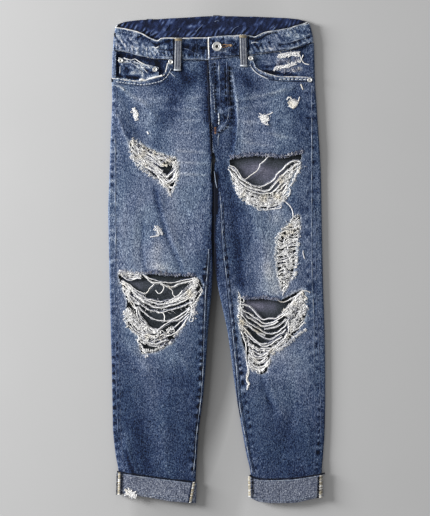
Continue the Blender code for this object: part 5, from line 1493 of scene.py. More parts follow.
def twill(settings, name):
    """The cloth finish of that name, made when the first piece asks for it.

    The real weave repeats every millimetre or so, which is too fine to show, so its
    diagonal is drawn about 3 mm wide.
    """
    if name in bpy.data.materials:
        return bpy.data.materials[name]
    cloth = TWILLS[name]
    made, tree, shader = new_material(name)
    place = add_node(tree, "TexCoord", out="Object")
    if isinstance(cloth.level, str):
        even = add_node(tree, "Attribute", out="Fac", attribute_name=cloth.level)
    else:
        even = total(tree, grain(tree, place, 40, 60, 10), cloth.level / 255)
    grains = [grain(tree, place, *sizes) for sizes in cloth.grains]
    # Light cloth shows its weft more than dark cloth, so its grain is stronger.
    strength = add_node(tree, "Math", {0: even, 1: 1.15, 2: 0.5}, operation="MULTIPLY_ADD")
    speckle = add_node(tree, "Math", {0: total(tree, *grains), 1: strength}, operation="MULTIPLY")
    dye = total(tree, even, speckle)
    colour = add_node(tree, "ValToRGB", {0: dye}, stops=cloth.stops)
    if cloth.bleached:
        pale = add_node(tree, "MapRange", {"Value": even, "From Min": 102 / 255, "From Max": 168 / 255})
        rubbed_pale = add_node(tree, "ValToRGB", {0: dye}, stops=cloth.bleached)
        colour = add_node(
            tree, "Mix", {"Factor": pale, "A": colour, "B": rubbed_pale}, out="Result", data_type="RGBA",
        )
    tint = (*settings.denim_tint, 1)
    first, second = ([a * b for a, b in zip(linear(code), tint)] for code in cloth.casts)
    drift = add_node(
        tree, "Math", {0: grain(tree, place, 50, 80, 500), 1: 0.5}, operation="ADD", use_clamp=True,
    )
    cast = add_node(tree, "Mix", {
        "Factor": drift, "A": first, "B": second,
    }, out="Result", data_type="RGBA")
    colour = add_node(tree, "Mix", {
        "Factor": 1.0, "A": colour, "B": cast,
    }, out="Result", data_type="RGBA", blend_type="MULTIPLY")
    tree.links.new(colour, shader.inputs["Base Color"])
    shader.inputs["Roughness"].default_value = 0.92
    shader.inputs["Specular IOR Level"].default_value = 0.18
    diagonal = add_node(tree, "Mapping", {"Vector": place, "Rotation": (0, 0, radians(27))})
    ribs = add_node(tree, "TexWave", {
        "Vector": diagonal, "Scale": 1 / (3 * MM) / 2.1,
        "Distortion": 2.0, "Detail": 1.0, "Detail Scale": 3.0,
    }, out="Fac", bands_direction="X")
    slubs = add_node(tree, "Math", {0: grains[0], 1: 9.0}, operation="MULTIPLY")
    relief = {"Height": total(tree, ribs, slubs), "Strength": cloth.bump, "Distance": 0.6 * MM}
    tree.links.new(add_node(tree, "Bump", relief), shader.inputs["Normal"])
    return made

# ---------------------------------------------------------------- cloth pieces


# The torn edges that curl up as blue fringe, from the tables of yarn.
DYED_FRINGES = [
    row for row in (*RIGHT_KNEE_YARN, *LEFT_KNEE_YARN, *LEFT_THIGH_YARN)
    if isinstance(row, Curls) and row.tone < 0.2
]


def front_grid(leg, base_from=HEM_ROW, across_to=1.0):
    """Plan points of the front panel, from the outseam to the inseam, hem to waist."""
    rows = int((WAIST_ROW - base_from) / CELL)
    columns = int(FRONT_WIDTH * across_to / CELL)
    base = np.linspace(base_from, WAIST_ROW, rows)[:, None]
    share = np.linspace(0, across_to, columns)[None, :]
    start = leg.outseam(base) - leg.side * SEAM_GAP / 2
    end = leg.inseam(base) + leg.side * SEAM_GAP
    if leg is LEFT:
        end = end - 2.0 * fly_lap(base)
    x = start + (end - start) * share
    return x, leg.y(base, x), base + 0 * x


def make_front(settings, leg):
    """A front panel: torn rips, a turned pocket mouth, and on the left the lap over the fly."""
    x, y, base = front_grid(leg)
    torn_edges = [
        ragged(rip.outline, 0.7, number) for number, rip in enumerate(RIPS) if rip.leg == leg.name
    ]
    mouth = list(RIGHT_MOUTH if leg is RIGHT else LEFT_MOUTH)
    mouth_edge = rounded(mouth, 3.0)
    mouth_outline = mouth_edge + [(mouth[-1][0], MOUTH_TOP_Y), (mouth[0][0], MOUTH_TOP_Y)]
    x, y, keep = torn(x, y, [*torn_edges, mouth_outline], CELL)
    rip_away = np.min([nearest(x, y, edge + edge[:1])[0] for edge in torn_edges], axis=0)
    mouth_away, along, _, _ = nearest(x, y, mouth_edge)
    # The mouth's hem stands up and puckers, and the rips' edges curl.
    wave = np.sin(2 * pi * along / 8.5 + 2 * noise(along, along * 0, 20, 7))
    hem = fading(mouth_away, 6, 4)
    z = face(leg, x, y)
    z = z + hem * (0.7 + 0.3 * wave)
    z = z + fading(rip_away, 4) * (0.5 * noise(x, y, 16, 21) - 0.3)
    # The rips are rimmed with bare weft, except where dyed threads still hang on them.
    wash = leg.even_wash(x, base) + creases(x, y)[1]
    fringed = np.min([nearest(x, y, row.line)[0] for row in DYED_FRINGES], axis=0)
    wash = wash + 48 * fading(rip_away, 3.2) * (1 - fading(fringed, 9))
    wash = wash + 12 * fading(rip_away, 11) - 46 * fading(fringed, 3.6)
    wash = wash + 70 * fading(mouth_away, 1.9) + hem * 20 * (wave - 0.4)
    if leg is LEFT:
        fly = fading(x - 10, 22, 6) * ease((y - 236) / 12)
        wash = wash + fly * (34 * noise(x, y, 6, 71) + 26 * noise(x, y, 3, 72))
        lap = fly_lap(base)
        edge = leg.inseam(base) - 2.0
        z = z + lap * 1.25 * fading(x - edge, 9)
        wash = wash + lap * 66 * fading(x - edge, 2.4)
    piece = sheet_of(
        settings, f"cloth_front_{leg.name}", (x, y, z), (DENIM, SHADED_INSIDE, FRINGE),
        mm(settings.cloth_thickness), wash, keep=keep, flip=leg is LEFT,
    )
    declare(piece, f"front_{leg.name}", (196, 860), area=152000)


def folded_over(centre, radius, under, share):
    """A point on a fold seen end on, from the top (0) round to the underside (1): its x and z.

    radius is less than 0 where the fold is on the -X side of its centre.
    """
    angle = pi / 2 - pi * share
    return centre + radius * np.cos(angle), under + np.abs(radius) * (1 + np.sin(angle))


def back_section(leg, base):
    """Points round the back panel: x, how far round to the back (0 to 1), and z."""
    s = leg.side
    under = LEVEL["under"](base)
    radius = (LEVEL["edge"](base) - under) / 2
    inner_radius = (LEVEL["inner"](base) - under) / 2
    outer_turn = leg.outer(base) - s * radius
    inner_turn = leg.inner(base) + s * inner_radius
    outseam = leg.outseam(base) + s * SEAM_GAP / 2
    inseam = leg.inseam(base) - s * SEAM_GAP / 2
    points = []
    for share in np.linspace(0, 1, 6)[:-1]:
        x = outseam + (outer_turn - outseam) * share
        z = face(leg, x, leg.y(base, x)) * (1 - share**4) + LEVEL["edge"](base) * share**4
        points.append((x, 0 * x, z))
    for share in np.linspace(0, 1, 9):
        x, z = folded_over(outer_turn, s * radius, under, share)
        points.append((x, share + 0 * base, z))
    for share in np.linspace(0, 1, 50)[1:-1]:
        x = outer_turn + (inner_turn - outer_turn) * share
        slack = 0.5 * (1 + noise(x, base, 30, 5, 1.5)) + 0.2 * (1 + noise(x, base, 11, 6))
        points.append((x, 1 + 0 * x, under + slack * ease(share / 0.05) * ease((1 - share) / 0.05)))
    wrapped = [folded_over(inner_turn, -s * inner_radius, under, share) for share in np.linspace(1, 0, 9)]
    for share in np.linspace(0, 1, 6)[1:]:
        x = inner_turn + (inseam - inner_turn) * share
        folded = (1 - share) ** 4
        z = face(leg, x, leg.y(base, x)) * (1 - folded) + LEVEL["inner"](base) * folded
        wrapped.append((x, z))
    # Above the crotch there is no inner fold: both backs lie flat up to the seam between them.
    flat = above_crotch(base)
    seam = CENTRE_BACK_X + s * SEAM_GAP / 2
    last = len(wrapped) - 1
    for k, (x, z) in enumerate(wrapped):
        lying = seam + s * 0.9 * (last - k)
        points.append((x * (1 - flat) + lying * flat, 1 + 0 * x, z * (1 - flat) + under * flat))
    return (np.concatenate([point[i] for point in points], axis=1) for i in range(3))


# Painted light and shade on the back's inside, where a rip shows it: painted shade all over at a low
# level, and painted light along a line, its half width and its level.
INSIDE_PAINTED_SHADE = 34
INSIDE_PAINTED_LIGHT = table(
    RubAndShade,
    (((60, 170), (112, 158)), 26, 54),
    (((74, 176), (90, 170)), 9, 22),
    (((58, -87), (80, -89)), 8, 26),
    (((-160, -46), (-60, -62)), 15, 22),
    (((-120, -104), (-90, -100)), 12, 20),
    (((-156, -44), (-148, -50)), 8, 16),
    (((62, -88), (104, -90)), 15, 48),
    (((-160, 200), (-90, 150)), 10, 6),
)
BACK_RUBS = table(
    RubAndShade,
    (((-96, 300), (-104, 240), (-108, 200)), 38, 24),
    (((90, 300), (96, 240), (100, 200)), 38, 24),
    (((-170, -20), (-110, -34), (-50, -22)), 6, -16),
    (((-168, -6), (-110, -16), (-50, -6)), 6, 16),
    (((170, -24), (110, -36), (50, -24)), 6, -16),
    (((172, -8), (110, -18), (46, -8)), 6, 16),
    (((-110, 120), (-112, -180)), 34, 12),
    (((108, 120), (116, -180)), 34, 12),
)


def back_rows(leg, first, last, dips, cell=BACK_CELL):
    """A strip of the back: its points, its wash outside, and the painted light and shade of its inside.

    dips are (nominal height, how far the strip hangs there at the centre).
    """
    base = np.linspace(first, last, max(4, int((last - first) / cell)))[:, None]
    x, back, z = back_section(leg, base)
    inward = np.clip((x - leg.outer(base)) / (CENTRE_BACK_X - leg.outer(base)), 0, 1) * back
    y = leg.y(base, x, back) - np.interp(base, *zip(*dips)) * inward
    seen = (z > LEVEL["under"](base) + 0.5 * (LEVEL["inner"](base) - LEVEL["under"](base))).astype(float)
    wash = leg.even_wash(x, base) + creases(x, y)[1] * seen
    wash = wash - 8 * (1 - seen) + (1 - seen) * rubbed(BACK_RUBS, x, y)
    return (x, y, z), wash, INSIDE_PAINTED_SHADE + rubbed(INSIDE_PAINTED_LIGHT, x, y)


def make_back(settings, leg):
    """A back panel, which wraps round both folds of the leg, and the yoke above it."""
    hang_below = ((294, 0), (WAIST_BEND, YOKE_DIP * 0.6), (YOKE_SEAM_ROW, YOKE_DIP))
    hang_above = ((YOKE_SEAM_ROW, YOKE_DIP), (365, YOKE_DIP / 2), (WAIST_ROW, 0))
    for kind, rows, flat, area in (
        ("back", back_rows(leg, HEM_ROW, YOKE_SEAM_ROW, hang_below), (262, 830), 205000),
        ("yoke", back_rows(leg, YOKE_SEAM_ROW + 0.6, WAIST_ROW, hang_above, 2.4), (230, 62), 12600),
    ):
        points, wash, within = rows
        piece = sheet_of(
            settings, f"cloth_{kind}_{leg.name}", points, (DENIM, SHADED_INSIDE, DENIM),
            mm(settings.cloth_thickness), wash, within, flip=leg is RIGHT,
        )
        declare(piece, f"{kind}_{leg.name}", flat, area=area)


# The dark lines of the facings under the waistband, beside the coin pocket and just above the left mouth's
# edge are painted shadow.
FACING_RUBS_AND_SHADE = table(
    RubAndShade,
    (((-188, 388), (-150, 384), (-112, 376)), 5, -34),
    (((-187, 384), (-187, 350)), 5, -60),
    (((-112, 372), (-104, 352)), 6, -30),
    (((-196, 380), (-196, 352)), 3, 40),
    (((74, 388), (112, 384)), 6, 22),
    (((80, 374), (112, 374)), 4, 14),
    (((82, 367), (112, 367)), 2.5, -60),
    (((92, 356), (150, 351)), 4, -70),
    (((116, 378), (156, 378)), 5, 62),
    (((120, 359), (156, 361)), 5, 56),
    (((164, 392), (170, 380)), 5, -10),
    (((162, 362), (172, 356)), 7, 40),
    (((88, 358), (112, 354)), 4, -40),
)


def make_facing(settings, leg):
    """The pocket cloth seen in a mouth: right, the coin pocket's ground, and left, a worn facing."""
    x, y, base = front_grid(leg, base_from=294, across_to=0.585)
    lift = -3.4 if leg is RIGHT else -1.9
    z = leg.top(x, base) + lift + 0.25 * noise(x, y, 14, 31, 1.4) + 0.15 * noise(x, y, 6, 32)
    wash = (48 if leg is RIGHT else 66) + 16 * noise(x, y, 22, 33) + 30 * noise(x, y, 6, 34)
    wash = wash + rubbed(FACING_RUBS_AND_SHADE, x, y)
    piece = sheet_of(
        settings, f"cloth_facing_{leg.name}", (x, y, z), (DENIM, SHADED_INSIDE, FRINGE),
        mm(settings.pocket_thickness), wash, flip=leg is LEFT,
    )
    declare(piece, f"facing_{leg.name}", (110, 100), area=9600)


# The dark lines round the coin pocket's edges and just above the mouth's edge are painted shadow.
COIN_RUBS_AND_SHADE = table(
    RubAndShade,
    (((-134, 357), (-112, 352)), 8, -64),
    (((-172, 363), (-171, 357)), 5, -100),
    (((-186, 372), (-186, 350)), 3.5, -80),
    (((-176, 376), (-150, 368), (-136, 360)), 4, -34),
    (((-160, 358), (-144, 352)), 8, 22),
    (((-150, 345), (-186, 348)), 3.5, -90),
)


def make_coin_pocket(settings):
    """The small pocket inside the right one, with a puckered hem along its top."""
    across, up = np.linspace(0, 1, 38)[None, :], np.linspace(0, 1, 28)[:, None]
    (x0, y0), (x1, y1), (x2, y2), (x3, y3) = COIN_POCKET
    x = (x3 + (x2 - x3) * across) * (1 - up) + (x0 + (x1 - x0) * across) * up
    y = (y3 + (y2 - y3) * across) * (1 - up) + (y0 + (y1 - y0) * across) * up
    hem = fading((1 - up) * COIN_DEPTH, 5, 4) + 0 * across
    wave = np.sin(2 * pi * across * 11 + 2 * noise(across * 80, up * 40, 18, 8))
    z = coin_face(x, y) + hem * (0.35 + 0.3 * wave) + 0.3 * noise(x, y, 12, 9) * up
    wash = 112 + 30 * noise(x, y, 12, 10) + 62 * noise(x, y, 5, 64) + hem * (10 + 30 * wave)
    wash = wash + rubbed(COIN_RUBS_AND_SHADE, x, y)
    piece = sheet_of(
        settings, "cloth_coin_pocket", (x, y, z), (DENIM, SHADED_INSIDE, FRINGE),
        mm(settings.pocket_thickness), wash,
    )
    declare(piece, "coin_pocket", (78, 55), area=3300)


def make_fly_shield(settings):
    """The strip behind the fly, under the lap of the left front."""
    y = np.linspace(226, 376, 50)[:, None]
    x = LEFT.inseam(y) + 4 + np.linspace(-14, 14, 12)[None, :]
    y = y + 0 * x
    z = LEFT.top(x, LEFT.base(x, y)) - 3.3
    piece = sheet_of(settings, "cloth_fly_shield", (x, y, z), (DENIM, SHADED_INSIDE, DENIM), 1.0, 70.0)
    declare(piece, "fly_shield", (28, 150))


def make_back_pocket(settings, leg):
    """A plain pocket that tapers to a point, flat under the back."""
    middle = CENTRE_BACK_X + leg.side * BACK_POCKET_X
    across, down = np.linspace(-1, 1, 44)[None, :], np.linspace(0, 1, 46)[:, None]
    half = BACK_POCKET_WIDTH / 2 - 4 * down
    depth = BACK_POCKET_HEIGHT - BACK_POCKET_POINT * np.abs(across)
    x, y = middle + half * across, BACK_POCKET_TOP_Y - depth * down
    z = 0.12 * (1 + noise(x, y, 20, 12))
    wash = 96 + 16 * noise(x, y, 40, 13)
    # The hem is paler, with a rubbed edge, and the sides are darker.
    wash = wash + 12 * fading(down * BACK_POCKET_HEIGHT, 14, 6)
    wash = wash - 22 * fading((1 - np.abs(across)) * 60, 5)
    wash = wash + 18 * fading(down * BACK_POCKET_HEIGHT, 2)
    piece = sheet_of(
        settings, f"cloth_back_pocket_{leg.name}", (x, y, z), (DENIM, SHADED_INSIDE, DENIM), POCKET_CLOTH, wash,
    )
    declare(piece, f"back_pocket_{leg.name}", (BACK_POCKET_WIDTH, BACK_POCKET_HEIGHT), area=15500)


# ---------------------------------------------------------------- waistband and loops


def lap_lift(x, on_top):
    """How far the band rises where its left end laps over the fly, or sinks under it."""
    if on_top:
        return OVERLAP_RISE * ease((60 - x) / 36)
    return -UNDERLAP_DROP * ease((x + 52) / 30)


def band_relief(x, share):
    """Ripples of the band between its two rows of stitching, and its rounded top edge."""
    edge_rows = fading((share - 0.08) * BAND_DEPTH, 3) + fading((share - 0.92) * BAND_DEPTH, 3)
    ripple = np.sin(2 * pi * x / 8.0 + 3 * noise(x, share * 40, 26, 14))
    up = share * BAND_DEPTH
    return 0.28 * edge_rows * (ripple - 0.6) + 0.35 * noise(x, up, 18, 15) + 0.14 * noise(x, up, 7, 16)


def band_height(leg, x, base, share, on_top):
    """Height of the band's outer face. on_top says that it is the end that laps over."""
    return leg.top(x, base) + BAND_PROUD + lap_lift(x, on_top) + band_relief(x, share)


# The darkest lines under the band's two dips, and the dark left of the button, are painted shadow.
BAND_RUBS_AND_SHADE = table(
    RubAndShade,
    (((-190, 408), (-150, 403), (-112, 393)), 9, 36),
    (((-184, 430), (-150, 426)), 10, -20),
    (((-146, 424), (-134, 419), (-122, 411), (-114, 407), (-104, 412), (-88, 415)), 5, -76),
    (((-180, 418), (-160, 413)), 4, 10),
    (((-108, 398), (-84, 398)), 3, -44),
    (((-108, 404), (-84, 406)), 3, 14),
    (((-62, 410), (-24, 410)), 24, -58),
    (((-62, 402), (-22, 402)), 3, -16),
    (((-58, 413), (-46, 407)), 5, 24),
    (((-62, 384), (-20, 383)), 3, 26),
    (((-8, 416), (-10, 396)), 7, -34),
    (((0, 390), (40, 392)), 5, -30),
    (((14, 414), (40, 402)), 9, -40),
    (((62, 420), (74, 416), (86, 422)), 5, -70),
    (((64, 408), (80, 404)), 8, -26),
    (((100, 420), (160, 432)), 9, 6),
    (((150, 416), (176, 424)), 4, -20),
    (((88, 404), (104, 404)), 5, 24),
    (((120, 410), (132, 408)), 5, 10),
)


def inside_levels(x, y):
    """The wash inside the back of the band: puckers over its stitching, and painted shadow, black by the
    front's edge and darker in the corners at its two ends.
    """
    above = y - BAND["front_top"](x)
    lean = x - 0.7 * above
    wave = np.sin(2 * pi * lean / 8.6 + 2.6 * noise(x, above, 18, 62))
    row = fading(above - 8, 6)
    flecks = np.clip(noise(lean, above, 4.4, 65, 1.8), 0, 1) ** 1.4
    corner = fading(x + 186, 16) + fading(x - 172, 10)
    patchy = np.clip(0.7 + 0.9 * noise(x, y, 11, 67), 0, 1.5)
    edge = fading(above, 2.8)
    puckered = 78 * np.maximum(wave, -0.35) * row * patchy
    # edge is painted shadow from the front's edge, and corner painted shade in the corners at the band's
    # ends.
    return 32 + puckered + 105 * flecks * patchy + 14 * noise(x, y, 6, 66) - 40 * edge - 30 * corner


def make_waistband(settings):
    """One strip round the waist, from the end that laps over the fly to the one that lies under it."""
    share = np.linspace(0, 1, 28)[:, None]
    base = BAND_BASE + BAND_RISE * share
    under = LEVEL["under"](base)
    turns, folds = {}, {}
    for leg in LEGS:
        outer = leg.outer(base)
        radius = (band_height(leg, outer, base, share, leg is LEFT) - under) / 2
        turns[leg.name] = outer - leg.side * radius
        folds[leg.name] = []
        for step in np.linspace(0, 1, 11):
            x, z = folded_over(turns[leg.name], leg.side * radius, under, step)
            folds[leg.name].append((x, step + 0 * base, z))
    # Each column is its x, how far round to the back it is (0 to 1), and its z.
    columns = []
    for step in np.linspace(0, 1, 122)[:-1]:
        x = OVERLAP_END_X + (turns["left"] - OVERLAP_END_X) * step
        columns.append((x, 0 * x, band_height(LEFT, x, base, share, True)))
    columns += folds["left"]
    for step in np.linspace(0, 1, 220)[1:-1]:
        x = turns["left"] + (turns["right"] - turns["left"]) * step
        slack = 0.4 * (1 + noise(x, share * BAND_DEPTH, 12, 17))
        slack = slack * ease(step / 0.03) * ease((1 - step) / 0.03)
        columns.append((x, 1 + 0 * x, under + slack))
    columns += folds["right"][::-1]
    for step in np.linspace(0, 1, 140)[1:]:
        x = turns["right"] + (UNDERLAP_END_X - turns["right"]) * step
        columns.append((x, 0 * x, band_height(RIGHT, x, base, share, False)))
    x, back, z = (np.concatenate([column[i] for column in columns], axis=1) for i in range(3))
    low, top = band_edge("low", x, back), band_edge("top", x, back)
    y = low + (top - low) * share
    rise, levels = rippled(BAND_PUCKERS, x, y)
    z = z + (1 - back) * rise
    mottle = 38 * noise(x, y, 6, 19) + 34 * noise(x, y, 3.4, 20)
    wash = 92 + 16 * noise(x, y, 18, 18) + mottle * (1 - 0.65 * back)
    wash = wash + (1 - back) * (rubbed(BAND_RUBS_AND_SHADE, x, y) + levels)
    # Rubbed pale along its edges and on the end that laps over the fly.
    wash = wash + 78 * fading((1 - share) * BAND_DEPTH, 2.2) + 10 * fading(share * BAND_DEPTH, 2.0)
    wash = wash + 70 * fading(x - OVERLAP_END_X, 1.8) * (1 - back) * (z > 8.6)
    piece = sheet_of(
        settings, "cloth_waistband", (x, y, z), (DENIM, DEEP, FRINGE), BAND_CLOTH, wash,
        inside_levels(x, y), bevel=0.5,
    )
    declare(piece, "waistband", (812, 43))


# The level across a belt loop, from its left edge (-1) to its right one (1): pale on its ribs, dark in the
# grooves between them and at its edges.
LOOP_RIBS_AT = (-1, -0.84, -0.6, -0.42, -0.1, 0.14, 0.38, 0.66, 0.86, 1)
LOOP_RIBS = (60, 165, 110, 42, 110, 126, 36, 120, 140, 50)


def make_belt_loops(settings):
    """Ribbed strips: in front over the band, behind flat under it."""
    width = mm(settings.belt_loop_width)
    across = np.linspace(-1, 1, 13)[None, :]
    ribs = 0.22 * np.cos(3 * pi * across) - 0.25 * across**6
    for loop in (*FRONT_LOOPS, *BACK_LOOPS):
        in_front = loop in FRONT_LOOPS
        share = np.linspace(0, 1, 34)[:, None]
        y = loop.low + (loop.top - loop.low) * share
        middle = loop.x + loop.lean * share
        x = middle + across * width / 2
        if in_front:
            leg = RIGHT if loop.x < 0 else LEFT
            band_low = BAND["front_low"](loop.x)
            rise = (BAND_PROUD + lap_lift(middle, loop.x > 0)) * ease((y - band_low + 10) / 9)
            beside = (middle - 6.5, middle, middle + 6.5)
            ground = np.max([leg.top(at, leg.base(at, np.minimum(y, 440))) for at in beside], axis=0)
            z = ground + rise + LOOP_CLOTH + 2 * SEAM_GAP + ribs + 0.3 * np.sin(pi * share)
        else:
            z = 0.25 - ribs + 0 * x
        y = y + 0 * x
        tacks = fading(share * LOOP_LENGTH, 2.5) + fading((1 - share) * LOOP_LENGTH, 2.5)
        ribs_wash = np.interp(across, LOOP_RIBS_AT, LOOP_RIBS)
        wash = 84 + (ribs_wash - 84) * (0.85 + 0.3 * noise(x, y, 9, 23))
        wash = wash + 14 * noise(x, y, 4, 24) + 30 * tacks
        piece = sheet_of(
            settings, f"cloth_{loop.name}", (x, y, z), (RIBBED, SHADED_INSIDE, RIBBED),
            LOOP_CLOTH if in_front else LOOP_CLOTH - 0.4, wash, flip=not in_front, bevel=0.3,
        )
        declare(piece, loop.name, (width, loop.top - loop.low))


# ---------------------------------------------------------------- cuffs


def cuff_section(leg, base):
    """Points all round a cuff at its nominal heights: x and z."""
    clear = HEM_GAP + CUFF_CLOTH
    s = leg.side
    under = LEVEL["under"](base) - clear
    outer, inner = leg.outer(base) + s * clear, leg.inner(base) - s * clear
    radius = (LEVEL["edge"](base) + clear - under) / 2
    start, end = outer - s * radius, inner + s * radius
    points = [folded_over(start, s * radius, under, share) for share in np.linspace(1, 0, 11)]
    for share in np.linspace(0, 1, 64)[1:-1]:
        x = start + (end - start) * share
        points.append((x, leg.top(x, base) + clear))
    points += [folded_over(end, -s * radius, under, share) for share in np.linspace(0, 1, 11)]
    for share in np.linspace(0, 1, 40)[1:-1]:
        points.append((end + (start - end) * share, under + 0 * base))
    return tuple(np.concatenate([point[i] + 0 * base for point in points], axis=1) for i in range(2))


def make_cuff(settings, leg):
    """A turned-up cuff: a closed band round the leg that shows the twill's other face."""
    share = np.linspace(0, 1, 19)[:, None]
    x, _ = cuff_section(leg, np.full_like(share, HEM_ROW))
    y = leg.cuff_low(x) + (leg.cuff_top(x) - leg.cuff_low(x)) * share
    base = leg.base(x, y)
    columns = [cuff_section(leg, base[:, [k]]) for k in range(x.shape[1])]
    x, z = (
        np.stack([column[i][:, k] for k, column in enumerate(columns)], axis=1) for i in range(2)
    )
    up = (z > 6).astype(float)
    roll = -0.9 * fading(share * CUFF_DEPTH, 3.0)
    z = z + up * (roll + 0.35 * noise(x, y, 16, 25) + 0.15 * noise(x, y, 6, 26)) + (1 - up) * 0.1
    piece = sheet_of(
        settings, f"cloth_cuff_{leg.name}", (x, y, z), (REVERSE, DENIM, REVERSE), CUFF_CLOTH - 0.2,
        112 + 10 * noise(x, y, 12, 27), flip=leg is LEFT, around=True, bevel=0.4,
    )
    girth = 330 if leg is RIGHT else 300
    declare(piece, f"cuff_{leg.name}", (girth, 40))
# ---------------------------------------------------------------- weft, ends and fluff

STRAND_RADIUS = 0.55
FIBRE_RADIUS = 0.22


def along_path(line, step):
    """A smooth path through a line: its points, the way across it, and how far along each point is."""
    path = np.array(rounded(line, step))
    run = np.gradient(path, axis=0)
    run /= np.maximum(np.linalg.norm(run, axis=1, keepdims=True), 1e-6)
    length = np.concatenate([[0], np.cumsum(np.linalg.norm(np.diff(path, axis=0), axis=1))])
    return path, np.stack([-run[:, 1], run[:, 0]], axis=1), length


def weft_threads(weft, chance):
    """The threads of one bundle, each a plan path with its depth under the front's face, radius and tone.

    They cling together in twos and threes, one bright on top and the rest in its shade,
    which is painted into their darker tone; there are dark gaps between, and they cross, crinkle and sag.
    """
    path, across, length = along_path(weft.line, 1.4)
    share = length / length[-1]
    sag = np.sin(pi * share) ** 0.7 * min(1, length[-1] / 40)
    low = chance.uniform(0.2, 2.0)
    groups = max(1, round(weft.width / 3.1))
    in_group = int(np.clip(round(weft.count / groups), 1, 4))
    for group in range(groups):
        place = weft.width * ((group + 0.5) / groups - 0.5)
        seed = int(chance.integers(1, 9999))
        roam = min(1.7, 0.3 + 0.22 * weft.width)
        drift = roam * (noise(length, length * 0, 13, seed) + 0.5 * noise(length, length * 0, 5, seed + 1))
        level = chance.uniform(-0.5, 1.1)
        for thread in range(in_group):
            own = int(chance.integers(1, 9999))
            bright = thread == 0
            crinkle = 0.5 * noise(length, length * 0, 3, own) + 0.5 * noise(length, length * 0, 7, own + 1)
            beside = (0, 1.0, -1.0, 1.7)[thread]
            offset = place + drift + crinkle * (0.7 if bright else 1.3) + beside + chance.normal(0, 0.15)
            drop = (0.1 if bright else 0.9) + sag * (low + level)
            drop = drop + 0.4 * noise(length, length * 0, 4, own + 2)
            first, last = 0, len(path)
            if chance.random() < 0.12 and weft.count > 2:
                cut = int(len(path) * chance.uniform(0.5, 0.95))
                first, last = (0, cut) if chance.random() < 0.5 else (len(path) - cut, len(path))
            moved = (path + across * offset[:, None])[first:last]
            radius = STRAND_RADIUS * (1.25 if bright else 0.8) * chance.uniform(0.85, 1.15)
            radius = radius * (1 + 0.25 * noise(length, length * 0, 3, own + 3))[first:last]
            # Threads under the top one get a darker tone: painted shade.
            tone = chance.uniform(0.85, 1.0) if bright else chance.uniform(0.0, 0.8)
            yield moved, drop[first:last], radius, float(tone)


def torn_ends(ends, chance):
    """Short warp or weft ends that stand out of a torn edge and curl over."""
    path, _, _ = along_path(ends.line, 1.0)
    for _ in range(ends.count):
        start = path[chance.integers(len(path))] + chance.normal(0, 0.5, 2)
        heading = radians(ends.toward + chance.normal(0, 32))
        bend = chance.normal(0, 0.5)
        reach = ends.length * chance.uniform(0.4, 1.25)
        steps = np.linspace(-0.25, 1, 6)
        angle = heading + bend * steps
        path_x = start[0] + reach * steps * np.cos(angle)
        path_y = start[1] + reach * steps * np.sin(angle)
        drop = -0.5 - 0.5 * np.sin(pi * np.clip(steps, 0, 1)) * chance.uniform(-0.6, 1)
        radius = FIBRE_RADIUS * chance.uniform(1.2, 2.2) * np.linspace(1.2, 0.6, 6)
        tone = float(ends.tone + chance.uniform(-0.2, 0.25))
        yield np.column_stack([path_x, path_y]), drop, radius, tone


def curled_threads(curls, chance):
    """Slack thread in small loops, over a line."""
    path, across, _ = along_path(curls.line, 1.0)
    for _ in range(curls.count):
        pick = chance.integers(len(path))
        start = path[pick] + across[pick] * curls.width * chance.uniform(-0.5, 0.5)
        turns = chance.uniform(0.5, 1.3) * chance.choice((-1, 1))
        steps = np.linspace(0, 1, 11)
        heading = chance.uniform(0, 2 * pi) + 2 * pi * turns * steps
        loop = chance.uniform(1.0, 2.6)
        run = np.column_stack([np.cos(heading), np.sin(heading) * chance.uniform(0.6, 1)]) * loop
        run += steps[:, None] * chance.normal(0, 2.0, 2)
        drop = chance.uniform(-0.9, 0.8) + 0.5 * np.sin(heading)
        tone = float(np.clip(curls.tone + chance.normal(0, 0.2), 0, 1))
        yield start + run, drop, STRAND_RADIUS * chance.uniform(0.6, 1.0), tone


def fluff_fibres(fluff, chance):
    """Broken fibre: short curls that lie every way over a bundle."""
    path, across, _ = along_path(fluff.line, 1.0)
    for _ in range(fluff.count):
        pick = chance.integers(len(path))
        start = path[pick] + across[pick] * fluff.width * chance.normal(0, 0.3)
        heading, curl = chance.uniform(0, 2 * pi), chance.normal(0, 1.6)
        reach = chance.uniform(2.5, 7)
        steps = np.linspace(0, 1, 6)
        angle = heading + curl * steps
        run = np.cumsum(np.column_stack([np.cos(angle), np.sin(angle)]) * reach / 6, axis=0)
        drop = chance.uniform(-0.7, 2.0) - 0.6 * np.sin(pi * steps)
        yield start + run, drop, FIBRE_RADIUS * chance.uniform(0.7, 1.5), float(chance.uniform(0.45, 1))


def on_leg(leg, laid, lift):
    """Strands in space from plan paths with depths. Away from the rips they lie on the cloth."""
    paths = np.concatenate([path for path, _, _, _ in laid])
    x, y = paths[:, 0], paths[:, 1]
    drop = np.concatenate([drop for _, drop, _, _ in laid])
    outside = np.full(len(x), 1e3)
    for rip in RIPS:
        if rip.leg == leg.name:
            edge = list(rip.outline)
            off = nearest(x, y, edge + edge[:1])[0]
            outside = np.minimum(outside, np.where(inside(x, y, edge), 0, off))
    over = ease((outside - 2) / 2)
    z = face(leg, x, y) + lift - drop * (1 - over) + over * (0.35 - 0.3 * np.tanh(drop))
    points = np.column_stack([paths, np.maximum(z, STRAND_RADIUS)])
    ends = np.cumsum([len(path) for path, _, _, _ in laid])[:-1]
    return [(part, radius, tone) for part, (_, _, radius, tone) in zip(np.split(points, ends), laid)]


THREADS = {Weft: weft_threads, Ends: torn_ends, Fluff: fluff_fibres, Curls: curled_threads}


def make_yarn(settings, name, leg, rows, finish, seed, lift=0.0):
    """All the loose yarn of one place, joined into a piece."""
    chance = np.random.default_rng(seed)
    laid = []
    for row in rows:
        laid += THREADS[type(row)](row, chance)
    strands = [
        (points, radius * settings.yarn_scale, tone) for points, radius, tone in on_leg(leg, laid, lift)
    ]
    return trim(yarn(name, strands, finish))


